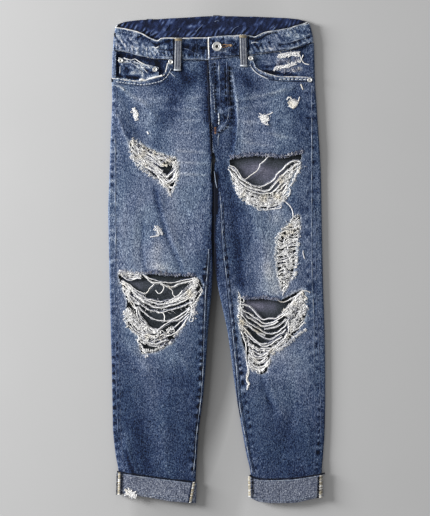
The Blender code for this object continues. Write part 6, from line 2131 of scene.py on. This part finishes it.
def make_all_yarn(settings):
    """The yarn of the five rips, and the small frays elsewhere."""
    weft = make_weft_material(settings)
    for place, leg, rows, seed in (
        ("right_thigh", RIGHT, RIGHT_THIGH_YARN, 71),
        ("left_thigh", LEFT, LEFT_THIGH_YARN, 72),
        ("left_side", LEFT, LEFT_SIDE_YARN, 73),
        ("left_knee", LEFT, LEFT_KNEE_YARN, 74),
        ("right_knee", RIGHT, RIGHT_KNEE_YARN, 75),
    ):
        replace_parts(make_yarn(settings, f"yarn_{place}", leg, rows, weft, seed), f"weft_{place}")
    for number, leg in enumerate(LEGS):
        mine = [row for row in SMALL_FRAYS if leg_at(row.line[0][0]) is leg]
        make_yarn(settings, f"frays_{leg.name}", leg, mine, weft, 81 + number)
    make_yarn(settings, "frays_facing", LEFT, FACING_FRAYS, weft, 83, lift=-1.7)
    make_yarn(settings, "frays_cuff", RIGHT, CUFF_FRAYS, weft, 84, lift=HEM_GAP + CUFF_CLOTH + 0.4)


def make_weft_material(settings):
    # Undyed cotton yarn, matt and hairy: chalk white where it is bleached, grey where
    # indigo has rubbed off on it and, as painted shade, on threads under others, and straw where it has
    # yellowed.
    made, tree, shader = new_material("undyed_cotton_yarn")
    place = add_node(tree, "TexCoord", out="Object")
    tone = add_node(tree, "Attribute", out="Fac", attribute_name="tone")
    level = total(tree, tone, grain(tree, place, 1.6, 1.6, 60), grain(tree, place, 7, 7, 30))
    colour = add_node(tree, "ValToRGB", {0: level}, stops=(
        (0, "#4f5770"), (60, "#80859a"), (120, "#b9bac2"), (180, "#e0e0df"), (235, "#fbfaf8"),
    ))
    age = add_node(
        tree, "Math", {0: grain(tree, place, 22, 22, 510), 1: -0.24}, operation="ADD", use_clamp=True,
    )
    yellowed = add_node(tree, "Mix", {
        "Factor": age, "A": (1, 1, 1, 1), "B": (*settings.yellowed_yarn, 1),
    }, out="Result", data_type="RGBA")
    colour = add_node(tree, "Mix", {
        "Factor": 1.0, "A": colour, "B": yellowed,
    }, out="Result", data_type="RGBA", blend_type="MULTIPLY")
    tree.links.new(colour, shader.inputs["Base Color"])
    shader.inputs["Roughness"].default_value = 0.95
    shader.inputs["Specular IOR Level"].default_value = 0.12
    return made
# ---------------------------------------------------------------- sewing and painted shadow on the surfaces


def band_face(x, y):
    """Height of the waistband's outer face, over the fly as it laps there."""
    low, top = BAND["front_low"](x), BAND["front_top"](x)
    share = np.clip((y - low) / (top - low), 0, 1)
    base = BAND_BASE + BAND_RISE * share
    over = band_height(LEFT, x, base, share, True)
    under = band_height(RIGHT, x, base, share, False)
    return np.where(x > OVERLAP_END_X, over, under)


def coin_face(x, y):
    """Height of the coin pocket, which lies a little under the front's face."""
    return RIGHT.top(x, RIGHT.base(x, y)) - 1.8


def cuff_face(leg, x, y):
    """Height of a cuff's outer face, which turns down at its two folds."""
    base = leg.base(x, y)
    clear = HEM_GAP + CUFF_CLOTH
    under = LEVEL["under"](base) - clear
    outer, inner = leg.outer(base) + leg.side * clear, leg.inner(base) - leg.side * clear
    radius = (LEVEL["edge"](base) + clear - under) / 2
    past_outer = leg.side * (x - outer) + radius
    past_inner = leg.side * (inner - x) + radius
    past = np.clip(np.maximum(past_outer, past_inner) / radius, 0, 1)
    turned = under + radius * (1 + np.sqrt(1 - past**2))
    return np.where(past > 0, turned, leg.top(x, base) + clear)


def back_face(leg, x, y):
    """Depth of the back panel's underside."""
    base = leg.base(x, y)
    slack = 0.5 * (1 + noise(x, base, 30, 5, 1.5)) + 0.2 * (1 + noise(x, base, 11, 6))
    return LEVEL["under"](base) + slack - 0.2


def inside_band_face(x, y):
    """Height of the inside of the waistband's back, seen over the edge of its front."""
    return LEVEL["under"](BAND_BASE + 0 * x) + BAND_CLOTH + 0.9


# What the sewing lies on.
SURFACES = {
    "inside_band": inside_band_face,
    "right": lambda x, y: face(RIGHT, x, y),
    "left": lambda x, y: face(LEFT, x, y),
    "band": band_face,
    "coin": coin_face,
    "cuff_right": lambda x, y: cuff_face(RIGHT, x, y),
    "cuff_left": lambda x, y: cuff_face(LEFT, x, y),
    "back_right": lambda x, y: back_face(RIGHT, x, y),
    "back_left": lambda x, y: back_face(LEFT, x, y),
    "back_pocket": lambda x, y: 0 * x + 0.1,
}


def bead(row, seed):
    """A worn edge, or painted shadow in a gap: one rolled line of uneven thickness and tone."""
    path = np.array(rounded(row.line, 2.2))
    along = np.arange(len(path)) * 2.2
    lumps = noise(along, along * 0, 7, seed)
    wander = [noise(along, along * 0, 9, seed + axis) for axis in (1, 2)]
    path = path + 0.35 * np.column_stack(wander)
    z = SURFACES[row.surface](path[:, 0], path[:, 1]) - 0.2 * row.radius
    return np.column_stack([path, z]), row.radius * (1 + 0.4 * lumps), row.tone + 0.07 * lumps


def outward(surface):
    """1 for a surface that faces up, -1 for one that faces down."""
    return -1 if surface.startswith("back") else 1


def stitches(row, seed):
    """Stitches of a row: each is a short thread that dips into the cloth at its ends."""
    path, _, length = along_path(row.line, 1.0)
    chance = np.random.default_rng(seed)
    for middle in np.arange(row.pitch / 2, length[-1], row.pitch):
        reach = 0.32 * row.pitch * chance.uniform(0.8, 1.15)
        at = np.clip(middle + reach * np.array([-1, -0.6, 0.6, 1]), 0, length[-1])
        shift = chance.normal(0, 0.25, 2)
        x, y = (np.interp(at, length, path[:, axis]) + shift[axis] for axis in (0, 1))
        arched = outward(row.surface) * row.width * np.array([-0.5, 0.3, 0.3, -0.5])
        z = SURFACES[row.surface](x, y) + arched
        yield np.column_stack([x, y, z]), row.width, row.tone + chance.normal(0, 0.02)


def tack_threads(row, seed):
    """A bar tack: threads side by side across its width."""
    chance = np.random.default_rng(seed)
    for up in np.arange(-row.height / 2, row.height / 2, 0.9):
        x = row.middle[0] + row.width * np.array([-0.5, -0.4, 0, 0.4, 0.5])
        y = row.middle[1] + up + chance.normal(0, 0.3, 5)
        z = SURFACES[row.surface](x, y) + outward(row.surface) * np.array([-0.4, 0.5, 0.6, 0.5, -0.4])
        yield np.column_stack([x, y, z]), 0.5, row.tone + chance.normal(0, 0.04)


# Long creases inside the back of the waistband.
INSIDE_CREASES = (
    ((-127, 429), (-124, 433), (-119, 437)), ((-98, 435), (-95, 440), (-90, 446)),
    ((-40, 433), (-34, 440), (-26, 447)), ((27, 431), (33, 439), (42, 444)),
    ((53, 436), (55, 439), (59, 442)), ((74, 436), (78, 441)), ((-146, 432), (-141, 434)),
    ((-74, 434), (-70, 440)), ((104, 440), (110, 445)),
    ((-4, 452), (0, 454), (6, 453)), ((0, 432), (1, 437)),
)


def leg_rows(leg):
    """The worn ridges along a leg's seams, and the painted shadow beside them."""
    for line in LEG_LINES:
        if line.leg == leg.name:
            follow = getattr(leg, line.follows)
            inward = -leg.side if line.follows == "outseam" else leg.side
            y = np.linspace(line.first, line.last, 60)
            yield Bead(leg.name, list(zip(follow(y) + inward * line.inset, y)), line.radius, line.tone)


def sewn(rows, seed):
    """The strands of a table of sewing."""
    strands = []
    for number, row in enumerate(rows):
        if isinstance(row, Bead):
            strands.append(bead(row, seed + 3 * number))
        else:
            maker = stitches if isinstance(row, Row) else tack_threads
            strands += maker(row, seed + 3 * number)
    return strands


def loop_tacks(width):
    """The bar tacks across the ends of the front belt loops."""
    strands = []
    for loop in FRONT_LOOPS:
        leg = RIGHT if loop.x < 0 else LEFT
        for end, height, tone in ((loop.top - 3.4, 4.5, DRAB), (loop.low + 1.2, 2.6, CHALK)):
            middle = loop.x + loop.lean * (end - loop.low) / (loop.top - loop.low)
            above_edge = end - BAND["front_low"](loop.x)
            rise = (BAND_PROUD + lap_lift(middle, loop.x > 0)) * ease((above_edge + 10) / 9)
            x = middle + width / 2 * np.array([-1, -0.9, 0, 0.9, 1])
            ground = np.max(leg.top(x, leg.base(x, np.full(5, min(end, 440.0)))))
            level = ground + rise + LOOP_CLOTH + 2 * SEAM_GAP + 0.35
            for number, up in enumerate(np.arange(-height / 2, height / 2, 0.9)):
                y = end + up + 0.35 * np.sin(np.arange(5) * 2.0 + number)
                z = level + np.array([-1.2, 0.1, 0.2, 0.1, -1.2])
                strands.append((np.column_stack([x, y, z]), 0.55, tone))
    return strands


# Side seams of the turned-up cuffs: strips of overlocking seen from the wrong side, with near-black strips
# of painted shadow beside them.
Overlock = namedtuple("Overlock", "surface low top left right tone")
OVERLOCKS = table(
    Overlock,
    ("cuff_right", (-192, -446), (-191, -407), 0, 3.4, SHADOW_BLACK),
    ("cuff_right", (-188.4, -446), (-187.4, -406), 0, 4.4, CREAM),
    ("cuff_right", (-183.5, -446), (-182.6, -407), 0, 3.0, SHADOW_BLACK),
    ("cuff_right", (-56, -461), (-50, -424), 0, 2.8, INDIGO),
    ("cuff_right", (-52.6, -461), (-46, -424), 0, 4.6, CREAM),
    ("cuff_left", (60, -451), (59, -414), 0, 4.4, CREAM),
    ("cuff_left", (64.6, -452), (64.0, -415), 0, 4.4, SHADOW_BLACK),
    ("cuff_left", (189.6, -452), (190.6, -413), 0, 4.2, SHADOW_BLACK),
    ("cuff_left", (193.6, -452), (194.6, -411), 0, 6.6, CREAM),
)


def overlocking(strip, seed):
    """Short threads across a strip, one over the other, up its length."""
    chance = np.random.default_rng(seed)
    (x0, y0), (x1, y1) = strip.low, strip.top
    for share in np.linspace(0, 1, int((y1 - y0) / 1.9)):
        x = x0 + (x1 - x0) * share + np.array([strip.left, (strip.left + strip.right) / 2, strip.right])
        y = y0 + (y1 - y0) * share + np.array([0, 0.5, 1.1]) + chance.normal(0, 0.25, 3)
        z = SURFACES[strip.surface](x, y) + 0.1
        radius = 0.9 * chance.uniform(0.7, 1.2)
        yield np.column_stack([x, y, z]), radius, strip.tone + chance.uniform(-0.08, 0.06)


def cuff_rows(leg):
    """A cuff's plain rows: its rubbed top edge, the painted shadow above it, and the stitches at its fold.
    """
    surface = f"cuff_{leg.name}"
    cuff = RIGHT_CUFF if leg is RIGHT else LEFT_CUFF
    top = [(row.x, row.top - 1.2) for row in cuff]
    low = [(row.x, row.low + 6) for row in cuff]
    return [
        Bead(surface, top, 0.6, WORN),
        Bead(leg.name, [(x, y + 3.2) for x, y in top], 2.0, SHADOW_BLACK),
        Row(surface, low, 6.0, 0.5, WORN),
    ]


def tan_row(surface, line):
    """A row of the back's topstitching."""
    return Row(surface, line, 4.2, 0.5, TAN)


def back_sewing_rows():
    """The back's rows: yokes, centre seam and pocket edges."""
    for leg in LEGS:
        surface = f"back_{leg.name}"
        x = CENTRE_BACK_X + leg.side * np.linspace(4, 176, 30)
        seam = YOKE_SEAM_ROW - YOKE_DIP * (1 - np.abs(x - CENTRE_BACK_X) / 185)
        for shift in (3, 9):
            yield tan_row(surface, list(zip(x, seam + shift)))
        y = np.linspace(380, 200, 20)
        if leg is LEFT:
            for shift in (3, 9):
                yield tan_row(surface, list(zip(CENTRE_BACK_X + shift + 0 * y, y)))
        middle = CENTRE_BACK_X + leg.side * BACK_POCKET_X
        for shift in (2.5, 8):
            half, top = BACK_POCKET_WIDTH / 2 - shift, BACK_POCKET_TOP_Y - 1
            low = BACK_POCKET_TOP_Y - BACK_POCKET_HEIGHT + shift
            outline = (
                (middle - half, top), (middle - half + 4, low + BACK_POCKET_POINT), (middle, low),
                (middle + half - 4, low + BACK_POCKET_POINT), (middle + half, top),
            )
            for edge in zip(outline, outline[1:]):
                yield tan_row("back_pocket", edge)
        for shift in (11, 15):
            edge = BACK_POCKET_TOP_Y - shift
            yield tan_row("back_pocket", ((middle - 60, edge), (middle + 60, edge)))


def make_thread_and_shadow_material(settings):
    # Core-spun sewing thread and the worn rims of seams, matt cotton with a slight twist, and near-black
    # lines of painted shadow.
    made, tree, shader = new_material("sewing_thread_and_worn_seam_edges")
    place = add_node(tree, "TexCoord", out="Object")
    tone = add_node(tree, "Attribute", out="Fac", attribute_name="tone")
    level = total(tree, tone, grain(tree, place, 2.2, 2.2, 22))
    colour = add_node(tree, "ValToRGB", {0: level}, stops=[(round(255 * tone), code) for tone, code in (
        (SHADOW_BLACK, "#0a0e1a"), (INDIGO, "#1e2842"), (BLUE, "#4b5876"), (WORN, "#7a8699"), (CHALK, "#b9bfc6"),
        (WHITE, "#e6e7e8"), (CREAM, "#b9af98"), (DRAB, "#857c68"), (TAN, settings.tan_thread),
        (RUST, settings.tack_thread),
    )])
    tree.links.new(colour, shader.inputs["Base Color"])
    shader.inputs["Roughness"].default_value = 0.85
    shader.inputs["Specular IOR Level"].default_value = 0.2
    return made


def make_all_sewing_and_shadow_lines(settings):
    """The stitches, tacks, worn edges and painted shadow lines of the top, the legs, the back and the
    cuffs.
    """
    thread = make_thread_and_shadow_material(settings)
    inside_band = [Bead("inside_band", line, 0.6, BLUE) for line in INSIDE_CREASES]
    top = sewn([*SEWING_AND_SHADOW, *inside_band], 301) + loop_tacks(mm(settings.belt_loop_width))
    groups = [("top", top), ("back", sewn(back_sewing_rows(), 801))]
    for number, leg in enumerate(LEGS):
        groups.append((f"leg_{leg.name}", sewn(leg_rows(leg), 601 + 100 * number)))
        strips = sewn(cuff_rows(leg), 951 + number)
        for place, strip in enumerate(OVERLOCKS):
            if strip.surface == f"cuff_{leg.name}":
                strips += overlocking(strip, 901 + place)
        groups.append((f"cuff_{leg.name}", strips))
    for place, strands in groups:
        trim(yarn(f"sewing_{place}", strands, thread, sides=5))
# ---------------------------------------------------------------- button, rivets and zip

# A turned face in steps from its rim: how far in, and how far up or down.
Step = namedtuple("Step", "inward rise")
BUTTON_STEPS = (
    Step(0.5, 0.5), Step(0.9, 0.1), Step(0.7, -0.5), Step(1.9, -0.15),
    Step(1.3, 0.25), Step(0.5, -0.9), Step(1.2, 0.1),
)
RIVET_STEPS = (
    Step(0.4, 0.5), Step(0.6, 0.05), Step(0.5, -0.4), Step(0.9, 0.05), Step(0.5, 0.25), Step(0.5, -0.35),
)


def turned(name, node, steps, sides, dark_within, finishes):
    """A round fastener where its node is: a disc whose face is stepped in and up, as pressed.

    The second finish is for what lies within dark_within of the middle.
    """
    low, high = (np.array(corner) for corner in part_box(node))
    middle = (low + high) / 2
    rise = sum(step.rise for step in steps) * MM
    top = high[2] - max(0.0, rise) - 0.2 * MM
    deselect_all()
    bpy.ops.mesh.primitive_cylinder_add(
        vertices=sides, radius=(high[0] - low[0]) / 2, depth=top - low[2],
        location=(middle[0], middle[1], (low[2] + top) / 2),
    )
    piece = bpy.context.object
    piece.name = name
    bpy.ops.object.transform_apply(location=True, rotation=True, scale=True)
    for finish in finishes:
        piece.data.materials.append(finish)
    bpy.ops.object.mode_set(mode="EDIT")
    bpy.ops.mesh.select_all(action="DESELECT")
    shape = bmesh.from_edit_mesh(piece.data)
    for side in shape.faces:
        side.select = side.normal.z > 0.9
    bmesh.update_edit_mesh(piece.data)
    for step in steps:
        bpy.ops.mesh.inset(thickness=step.inward * MM, depth=0)
        bpy.ops.transform.translate(value=(0, 0, step.rise * MM))
    bpy.ops.mesh.poke()
    bpy.ops.object.mode_set(mode="OBJECT")
    for polygon in piece.data.polygons:
        away = np.hypot(polygon.center[0] - middle[0], polygon.center[1] - middle[1])
        if away < dark_within * MM and polygon.center[2] > low[2] + 0.1 * MM:
            polygon.material_index = 1
    soft = piece.modifiers.new("rounded_rims", "BEVEL")
    soft.width = 0.12 * MM
    soft.segments = 2
    soft.limit_method = "ANGLE"
    soft.angle_limit = radians(25)
    bpy.ops.object.modifier_apply(modifier=soft.name)
    bpy.ops.object.shade_smooth_by_angle(angle=radians(40))
    return piece


def pressed_metal(name, bright, dull, roughness):
    """Pressed, tumbled metal: bright with duller flecks, and dented too finely to see one by one."""
    made, tree, shader = new_material(name)
    place = add_node(tree, "TexCoord", out="Object")
    wear = total(tree, grain(tree, place, 1.4, 1.4, 150), 0.5)
    colour = add_node(tree, "ValToRGB", {0: wear}, stops=((70, dull), (180, bright)))
    tree.links.new(colour, shader.inputs["Base Color"])
    shader.inputs["Metallic"].default_value = 0.75
    shader.inputs["Roughness"].default_value = roughness
    dents = add_node(tree, "TexNoise", {"Vector": place, "Scale": 1 / (0.8 * MM)})
    lift = add_node(tree, "Bump", {"Height": dents, "Strength": 0.2, "Distance": 0.2 * MM})
    tree.links.new(lift, shader.inputs["Normal"])
    return made


def make_fasteners(settings):
    """The button, and one rivet face that is copied to each rivet's place."""
    # Nickel-plated steel, tumbled until it is satin and pale.
    nickel = pressed_metal("tumbled_nickel_plate", settings.nickel, "#b4b5b6", 0.42)
    # The shank's hollow, where the plating has gone dark.
    hollow = pressed_metal("blackened_shank_hollow", "#3a3a3c", "#151518", 0.6)
    button = turned("button_face", "button", BUTTON_STEPS, 56, 3.0, (nickel, hollow))
    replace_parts(trim(button), "button")
    first, *others = sorted(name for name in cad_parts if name.startswith("rivet"))
    pattern = turned(f"{first}_face", first, RIVET_STEPS, 32, 1.1, (nickel, hollow))
    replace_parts(trim(pattern), first)
    for node in others:
        piece = pattern.copy()
        piece.data = pattern.data.copy()
        piece.name = f"{node}_face"
        bpy.context.collection.objects.link(piece)
        move = np.mean(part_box(node), axis=0) - np.mean(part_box(first), axis=0)
        piece.data.transform(Matrix.Translation(move))
        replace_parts(trim(piece), node)


def finish_zip(settings):
    """The zip keeps its own solid and gets its finish."""
    # Drawn brass of the zip's teeth, dulled by washing to a soft yellow grey.
    brass = pressed_metal("dulled_zip_brass", settings.brass, "#77603a", 0.45)
    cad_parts["zip"].data.materials.clear()
    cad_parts["zip"].data.materials.append(brass)

# ---------------------------------------------------------------- stage

# What the camera sees of the floor, in metres, and its lens.
FRAME_HEIGHT = 0.9804
FRAME_CENTRE = (-0.0038, 0.0029)
LENS, SENSOR = 120, 36


def make_stage(settings):
    """A pale sweep under the jeans, a soft key light from the upper left, and the camera overhead."""
    deselect_all()
    bpy.ops.mesh.primitive_plane_add(size=6, location=(0, 0, -0.0004))
    floor = bpy.context.object
    floor.name = "floor"
    # Matt painted paper: even, with the faintest mottling, and with painted shade, darker away from the
    # light, between the legs.
    paper, tree, shader = new_material("matt_paper_sweep")
    place = add_node(tree, "TexCoord", out="Object")
    mottle = add_node(tree, "TexNoise", {"Vector": place, "Scale": 6.0, "Detail": 2.0})
    pale = settings.floor_colour
    tint = add_node(tree, "Mix", {
        "Factor": mottle, "A": (*pale, 1), "B": (*(0.96 * c for c in pale), 1),
    }, out="Result", data_type="RGBA")
    # The air between the legs is half closed in, so the paper there is painted in deeper shade.
    hollow = add_node(tree, "Mapping", {
        "Vector": place, "Location": (-0.012, -0.037, 0),
        "Rotation": (0, 0, -0.106), "Scale": (0.141, 0.728, 1),
    }, vector_type="TEXTURE")
    deep = add_node(tree, "TexGradient", {"Vector": hollow}, out="Fac", gradient_type="SPHERICAL")
    height = add_node(tree, "SeparateXYZ", {0: place}, out="Y")
    below_waist = add_node(tree, "MapRange", {
        "Value": height, "From Min": 0.42, "From Max": 0.16, "To Min": 0.25,
    })
    painted_shade_depth = add_node(tree, "Math", {0: deep, 1: below_waist}, operation="MULTIPLY")
    shade = add_node(tree, "ValToRGB", {0: painted_shade_depth}, stops=(
        (0, "#ffffff"), (30, "#eeeeee"), (102, "#e5e5e5"), (140, "#acacac"), (178, "#9a9a9a"),
        (217, "#818181"), (255, "#4e4e4e"),
    ))
    shaded = add_node(tree, "Mix", {
        "Factor": 1.0, "A": tint, "B": shade,
    }, out="Result", data_type="RGBA", blend_type="MULTIPLY")
    tree.links.new(shaded, shader.inputs["Base Color"])
    shader.inputs["Roughness"].default_value = 0.95
    shader.inputs["Specular IOR Level"].default_value = 0.1
    floor.data.materials.append(paper)

    key = bpy.data.lights.new("key_softbox", "AREA")
    key.shape = "RECTANGLE"
    key.size, key.size_y = 1.3, 1.3
    key.energy = settings.key_power
    lamp = bpy.data.objects.new("key_softbox", key)
    lamp.location = (-3.5, 0.95, 1.12)
    lamp.rotation_euler = (-lamp.location).to_track_quat("-Z", "Y").to_euler()
    bpy.context.collection.objects.link(lamp)

    world = bpy.data.worlds.new("studio_air")
    world.use_nodes = True
    world.node_tree.nodes["Background"].inputs["Color"].default_value = (1, 1, 1, 1)
    world.node_tree.nodes["Background"].inputs["Strength"].default_value = settings.sky_strength
    bpy.context.scene.world = world
    bpy.context.scene.view_settings.view_transform = "Standard"

    camera = bpy.data.cameras.new("overhead_camera")
    camera.lens, camera.sensor_width = LENS, SENSOR
    camera.clip_end = 20
    holder = bpy.data.objects.new("overhead_camera", camera)
    holder.location = (*FRAME_CENTRE, FRAME_HEIGHT * LENS / SENSOR + 0.007)
    bpy.context.collection.objects.link(holder)
    bpy.context.scene.camera = holder


# ---------------------------------------------------------------- add-on


class JeansSettings(bpy.types.PropertyGroup):
    """Sizes and colours that a user may change."""

    cloth_thickness: bpy.props.FloatProperty(
        name="Panels", description="Thickness of the denim of the fronts, backs and yokes",
        unit="LENGTH", precision=4, default=1.4 * MM, min=0.0001,
    )
    pocket_thickness: bpy.props.FloatProperty(
        name="Pocket cloth", description="Thickness of the pocket facings and the coin pocket",
        unit="LENGTH", precision=4, default=1.1 * MM, min=0.0001,
    )
    belt_loop_width: bpy.props.FloatProperty(
        name="Belt loops", description="Width of the belt loops",
        unit="LENGTH", precision=4, default=13 * MM, min=0.0001,
    )
    yarn_scale: bpy.props.FloatProperty(
        name="Yarn", description="Thickness of the loose yarn, against its usual one",
        subtype="FACTOR", default=1.0, min=0.3, max=2.0,
    )
    fade: bpy.props.FloatProperty(
        name="Fade", description="How much paler than usual the denim is washed, in levels of 255",
        default=0.0, min=-60, max=100,
    )
    denim_tint: bpy.props.FloatVectorProperty(
        name="Denim tint", description="Tint over all the denim",
        subtype="COLOR", size=3, min=0, max=1, default=linear("#ffffff")[:3],
    )
    yellowed_yarn: bpy.props.FloatVectorProperty(
        name="Yellowed yarn", description="Tint of the loose yarn where it has yellowed",
        subtype="COLOR", size=3, min=0, max=1, default=linear("#f0e8d6")[:3],
    )
    tan_thread: bpy.props.FloatVectorProperty(
        name="Topstitching", description="Colour of the tan topstitching",
        subtype="COLOR", size=3, min=0, max=1, default=linear("#b3916a")[:3],
    )
    tack_thread: bpy.props.FloatVectorProperty(
        name="Bar tack", description="Colour of the bar tack under the fly",
        subtype="COLOR", size=3, min=0, max=1, default=linear("#6e4638")[:3],
    )
    nickel: bpy.props.FloatVectorProperty(
        name="Nickel", description="Colour of the button and the rivets",
        subtype="COLOR", size=3, min=0, max=1, default=linear("#f2f1ec")[:3],
    )
    brass: bpy.props.FloatVectorProperty(
        name="Brass", description="Colour of the zip",
        subtype="COLOR", size=3, min=0, max=1, default=linear("#b99a5a")[:3],
    )
    floor_colour: bpy.props.FloatVectorProperty(
        name="Floor colour", description="Colour of the paper under the jeans",
        subtype="COLOR", size=3, min=0, max=1, default=linear("#b9b9b9")[:3],
    )
    key_power: bpy.props.FloatProperty(
        name="Key light", description="Power of the soft key light",
        subtype="POWER", unit="POWER", default=325, min=0,
    )
    sky_strength: bpy.props.FloatProperty(
        name="Sky", description="Strength of the even light from all round", default=0.44, min=0,
    )


class JEANS_OT_stage(bpy.types.Operator):
    """Make the floor, the lights and the camera"""

    bl_idname = "jeans.stage"
    bl_label = "Stage"
    bl_options = {"REGISTER", "UNDO"}

    def execute(self, context):
        make_stage(context.scene.jeans)
        return {"FINISHED"}


class JEANS_OT_fronts(bpy.types.Operator):
    """Make the two front panels with their rips"""

    bl_idname = "jeans.fronts"
    bl_label = "Fronts"
    bl_options = {"REGISTER", "UNDO"}

    def execute(self, context):
        for leg in LEGS:
            make_front(context.scene.jeans, leg)
        return {"FINISHED"}


class JEANS_OT_backs(bpy.types.Operator):
    """Make the two backs and the yokes over them"""

    bl_idname = "jeans.backs"
    bl_label = "Backs and yokes"
    bl_options = {"REGISTER", "UNDO"}

    def execute(self, context):
        for leg in LEGS:
            make_back(context.scene.jeans, leg)
        return {"FINISHED"}


class JEANS_OT_pockets(bpy.types.Operator):
    """Make the pocket facings, the coin pocket and the back pockets"""

    bl_idname = "jeans.pockets"
    bl_label = "Pockets"
    bl_options = {"REGISTER", "UNDO"}

    def execute(self, context):
        settings = context.scene.jeans
        for leg in LEGS:
            make_facing(settings, leg)
            make_back_pocket(settings, leg)
        make_coin_pocket(settings)
        return {"FINISHED"}


class JEANS_OT_fly_shield(bpy.types.Operator):
    """Make the strip of cloth behind the fly"""

    bl_idname = "jeans.fly_shield"
    bl_label = "Fly shield"
    bl_options = {"REGISTER", "UNDO"}

    def execute(self, context):
        make_fly_shield(context.scene.jeans)
        return {"FINISHED"}


class JEANS_OT_waistband(bpy.types.Operator):
    """Make the waistband"""

    bl_idname = "jeans.waistband"
    bl_label = "Waistband"
    bl_options = {"REGISTER", "UNDO"}

    def execute(self, context):
        make_waistband(context.scene.jeans)
        return {"FINISHED"}


class JEANS_OT_belt_loops(bpy.types.Operator):
    """Make the two belt loops in front and the three behind"""

    bl_idname = "jeans.belt_loops"
    bl_label = "Belt loops"
    bl_options = {"REGISTER", "UNDO"}

    def execute(self, context):
        make_belt_loops(context.scene.jeans)
        return {"FINISHED"}


class JEANS_OT_cuffs(bpy.types.Operator):
    """Make the two turned-up cuffs"""

    bl_idname = "jeans.cuffs"
    bl_label = "Cuffs"
    bl_options = {"REGISTER", "UNDO"}

    def execute(self, context):
        for leg in LEGS:
            make_cuff(context.scene.jeans, leg)
        return {"FINISHED"}


class JEANS_OT_yarn(bpy.types.Operator):
    """Make the loose weft, the torn ends and the small frays"""

    bl_idname = "jeans.yarn"
    bl_label = "Loose yarn"
    bl_options = {"REGISTER", "UNDO"}

    def execute(self, context):
        make_all_yarn(context.scene.jeans)
        return {"FINISHED"}


class JEANS_OT_sewing(bpy.types.Operator):
    """Make the stitches, bar tacks, buttonhole, worn seam edges and painted shadow lines"""

    bl_idname = "jeans.sewing"
    bl_label = "Sewing"
    bl_options = {"REGISTER", "UNDO"}

    def execute(self, context):
        make_all_sewing_and_shadow_lines(context.scene.jeans)
        return {"FINISHED"}


class JEANS_OT_fasteners(bpy.types.Operator):
    """Make the button and the rivets"""

    bl_idname = "jeans.fasteners"
    bl_label = "Button and rivets"
    bl_options = {"REGISTER", "UNDO"}

    def execute(self, context):
        make_fasteners(context.scene.jeans)
        return {"FINISHED"}


class JEANS_OT_zip(bpy.types.Operator):
    """Give the zip its brass"""

    bl_idname = "jeans.zip"
    bl_label = "Zip"
    bl_options = {"REGISTER", "UNDO"}

    def execute(self, context):
        finish_zip(context.scene.jeans)
        return {"FINISHED"}


class JEANS_PT_panel(bpy.types.Panel):
    """Settings and the buttons that make the jeans piece by piece"""

    bl_label = "Jeans"
    bl_idname = "JEANS_PT_panel"
    bl_space_type = "VIEW_3D"
    bl_region_type = "UI"
    bl_category = "Jeans"

    def draw(self, context):
        for name in JeansSettings.__annotations__:
            self.layout.prop(context.scene.jeans, name)
        for operator in OPERATORS:
            self.layout.operator(operator.bl_idname)


OPERATORS = (
    JEANS_OT_stage, JEANS_OT_fronts, JEANS_OT_backs, JEANS_OT_pockets,
    JEANS_OT_fly_shield, JEANS_OT_waistband, JEANS_OT_belt_loops, JEANS_OT_cuffs,
    JEANS_OT_yarn, JEANS_OT_sewing, JEANS_OT_fasteners, JEANS_OT_zip,
)
CLASSES = (JeansSettings, *OPERATORS, JEANS_PT_panel)


def register():
    for made in CLASSES:
        bpy.utils.register_class(made)
    bpy.types.Scene.jeans = bpy.props.PointerProperty(type=JeansSettings)


def unregister():
    del bpy.types.Scene.jeans
    for made in reversed(CLASSES):
        bpy.utils.unregister_class(made)


def main():
    register()
    deselect_all()
    for operator in OPERATORS:
        group, name = operator.bl_idname.split(".")
        getattr(getattr(bpy.ops, group), name)()


if __name__ == "__main__":
    main()
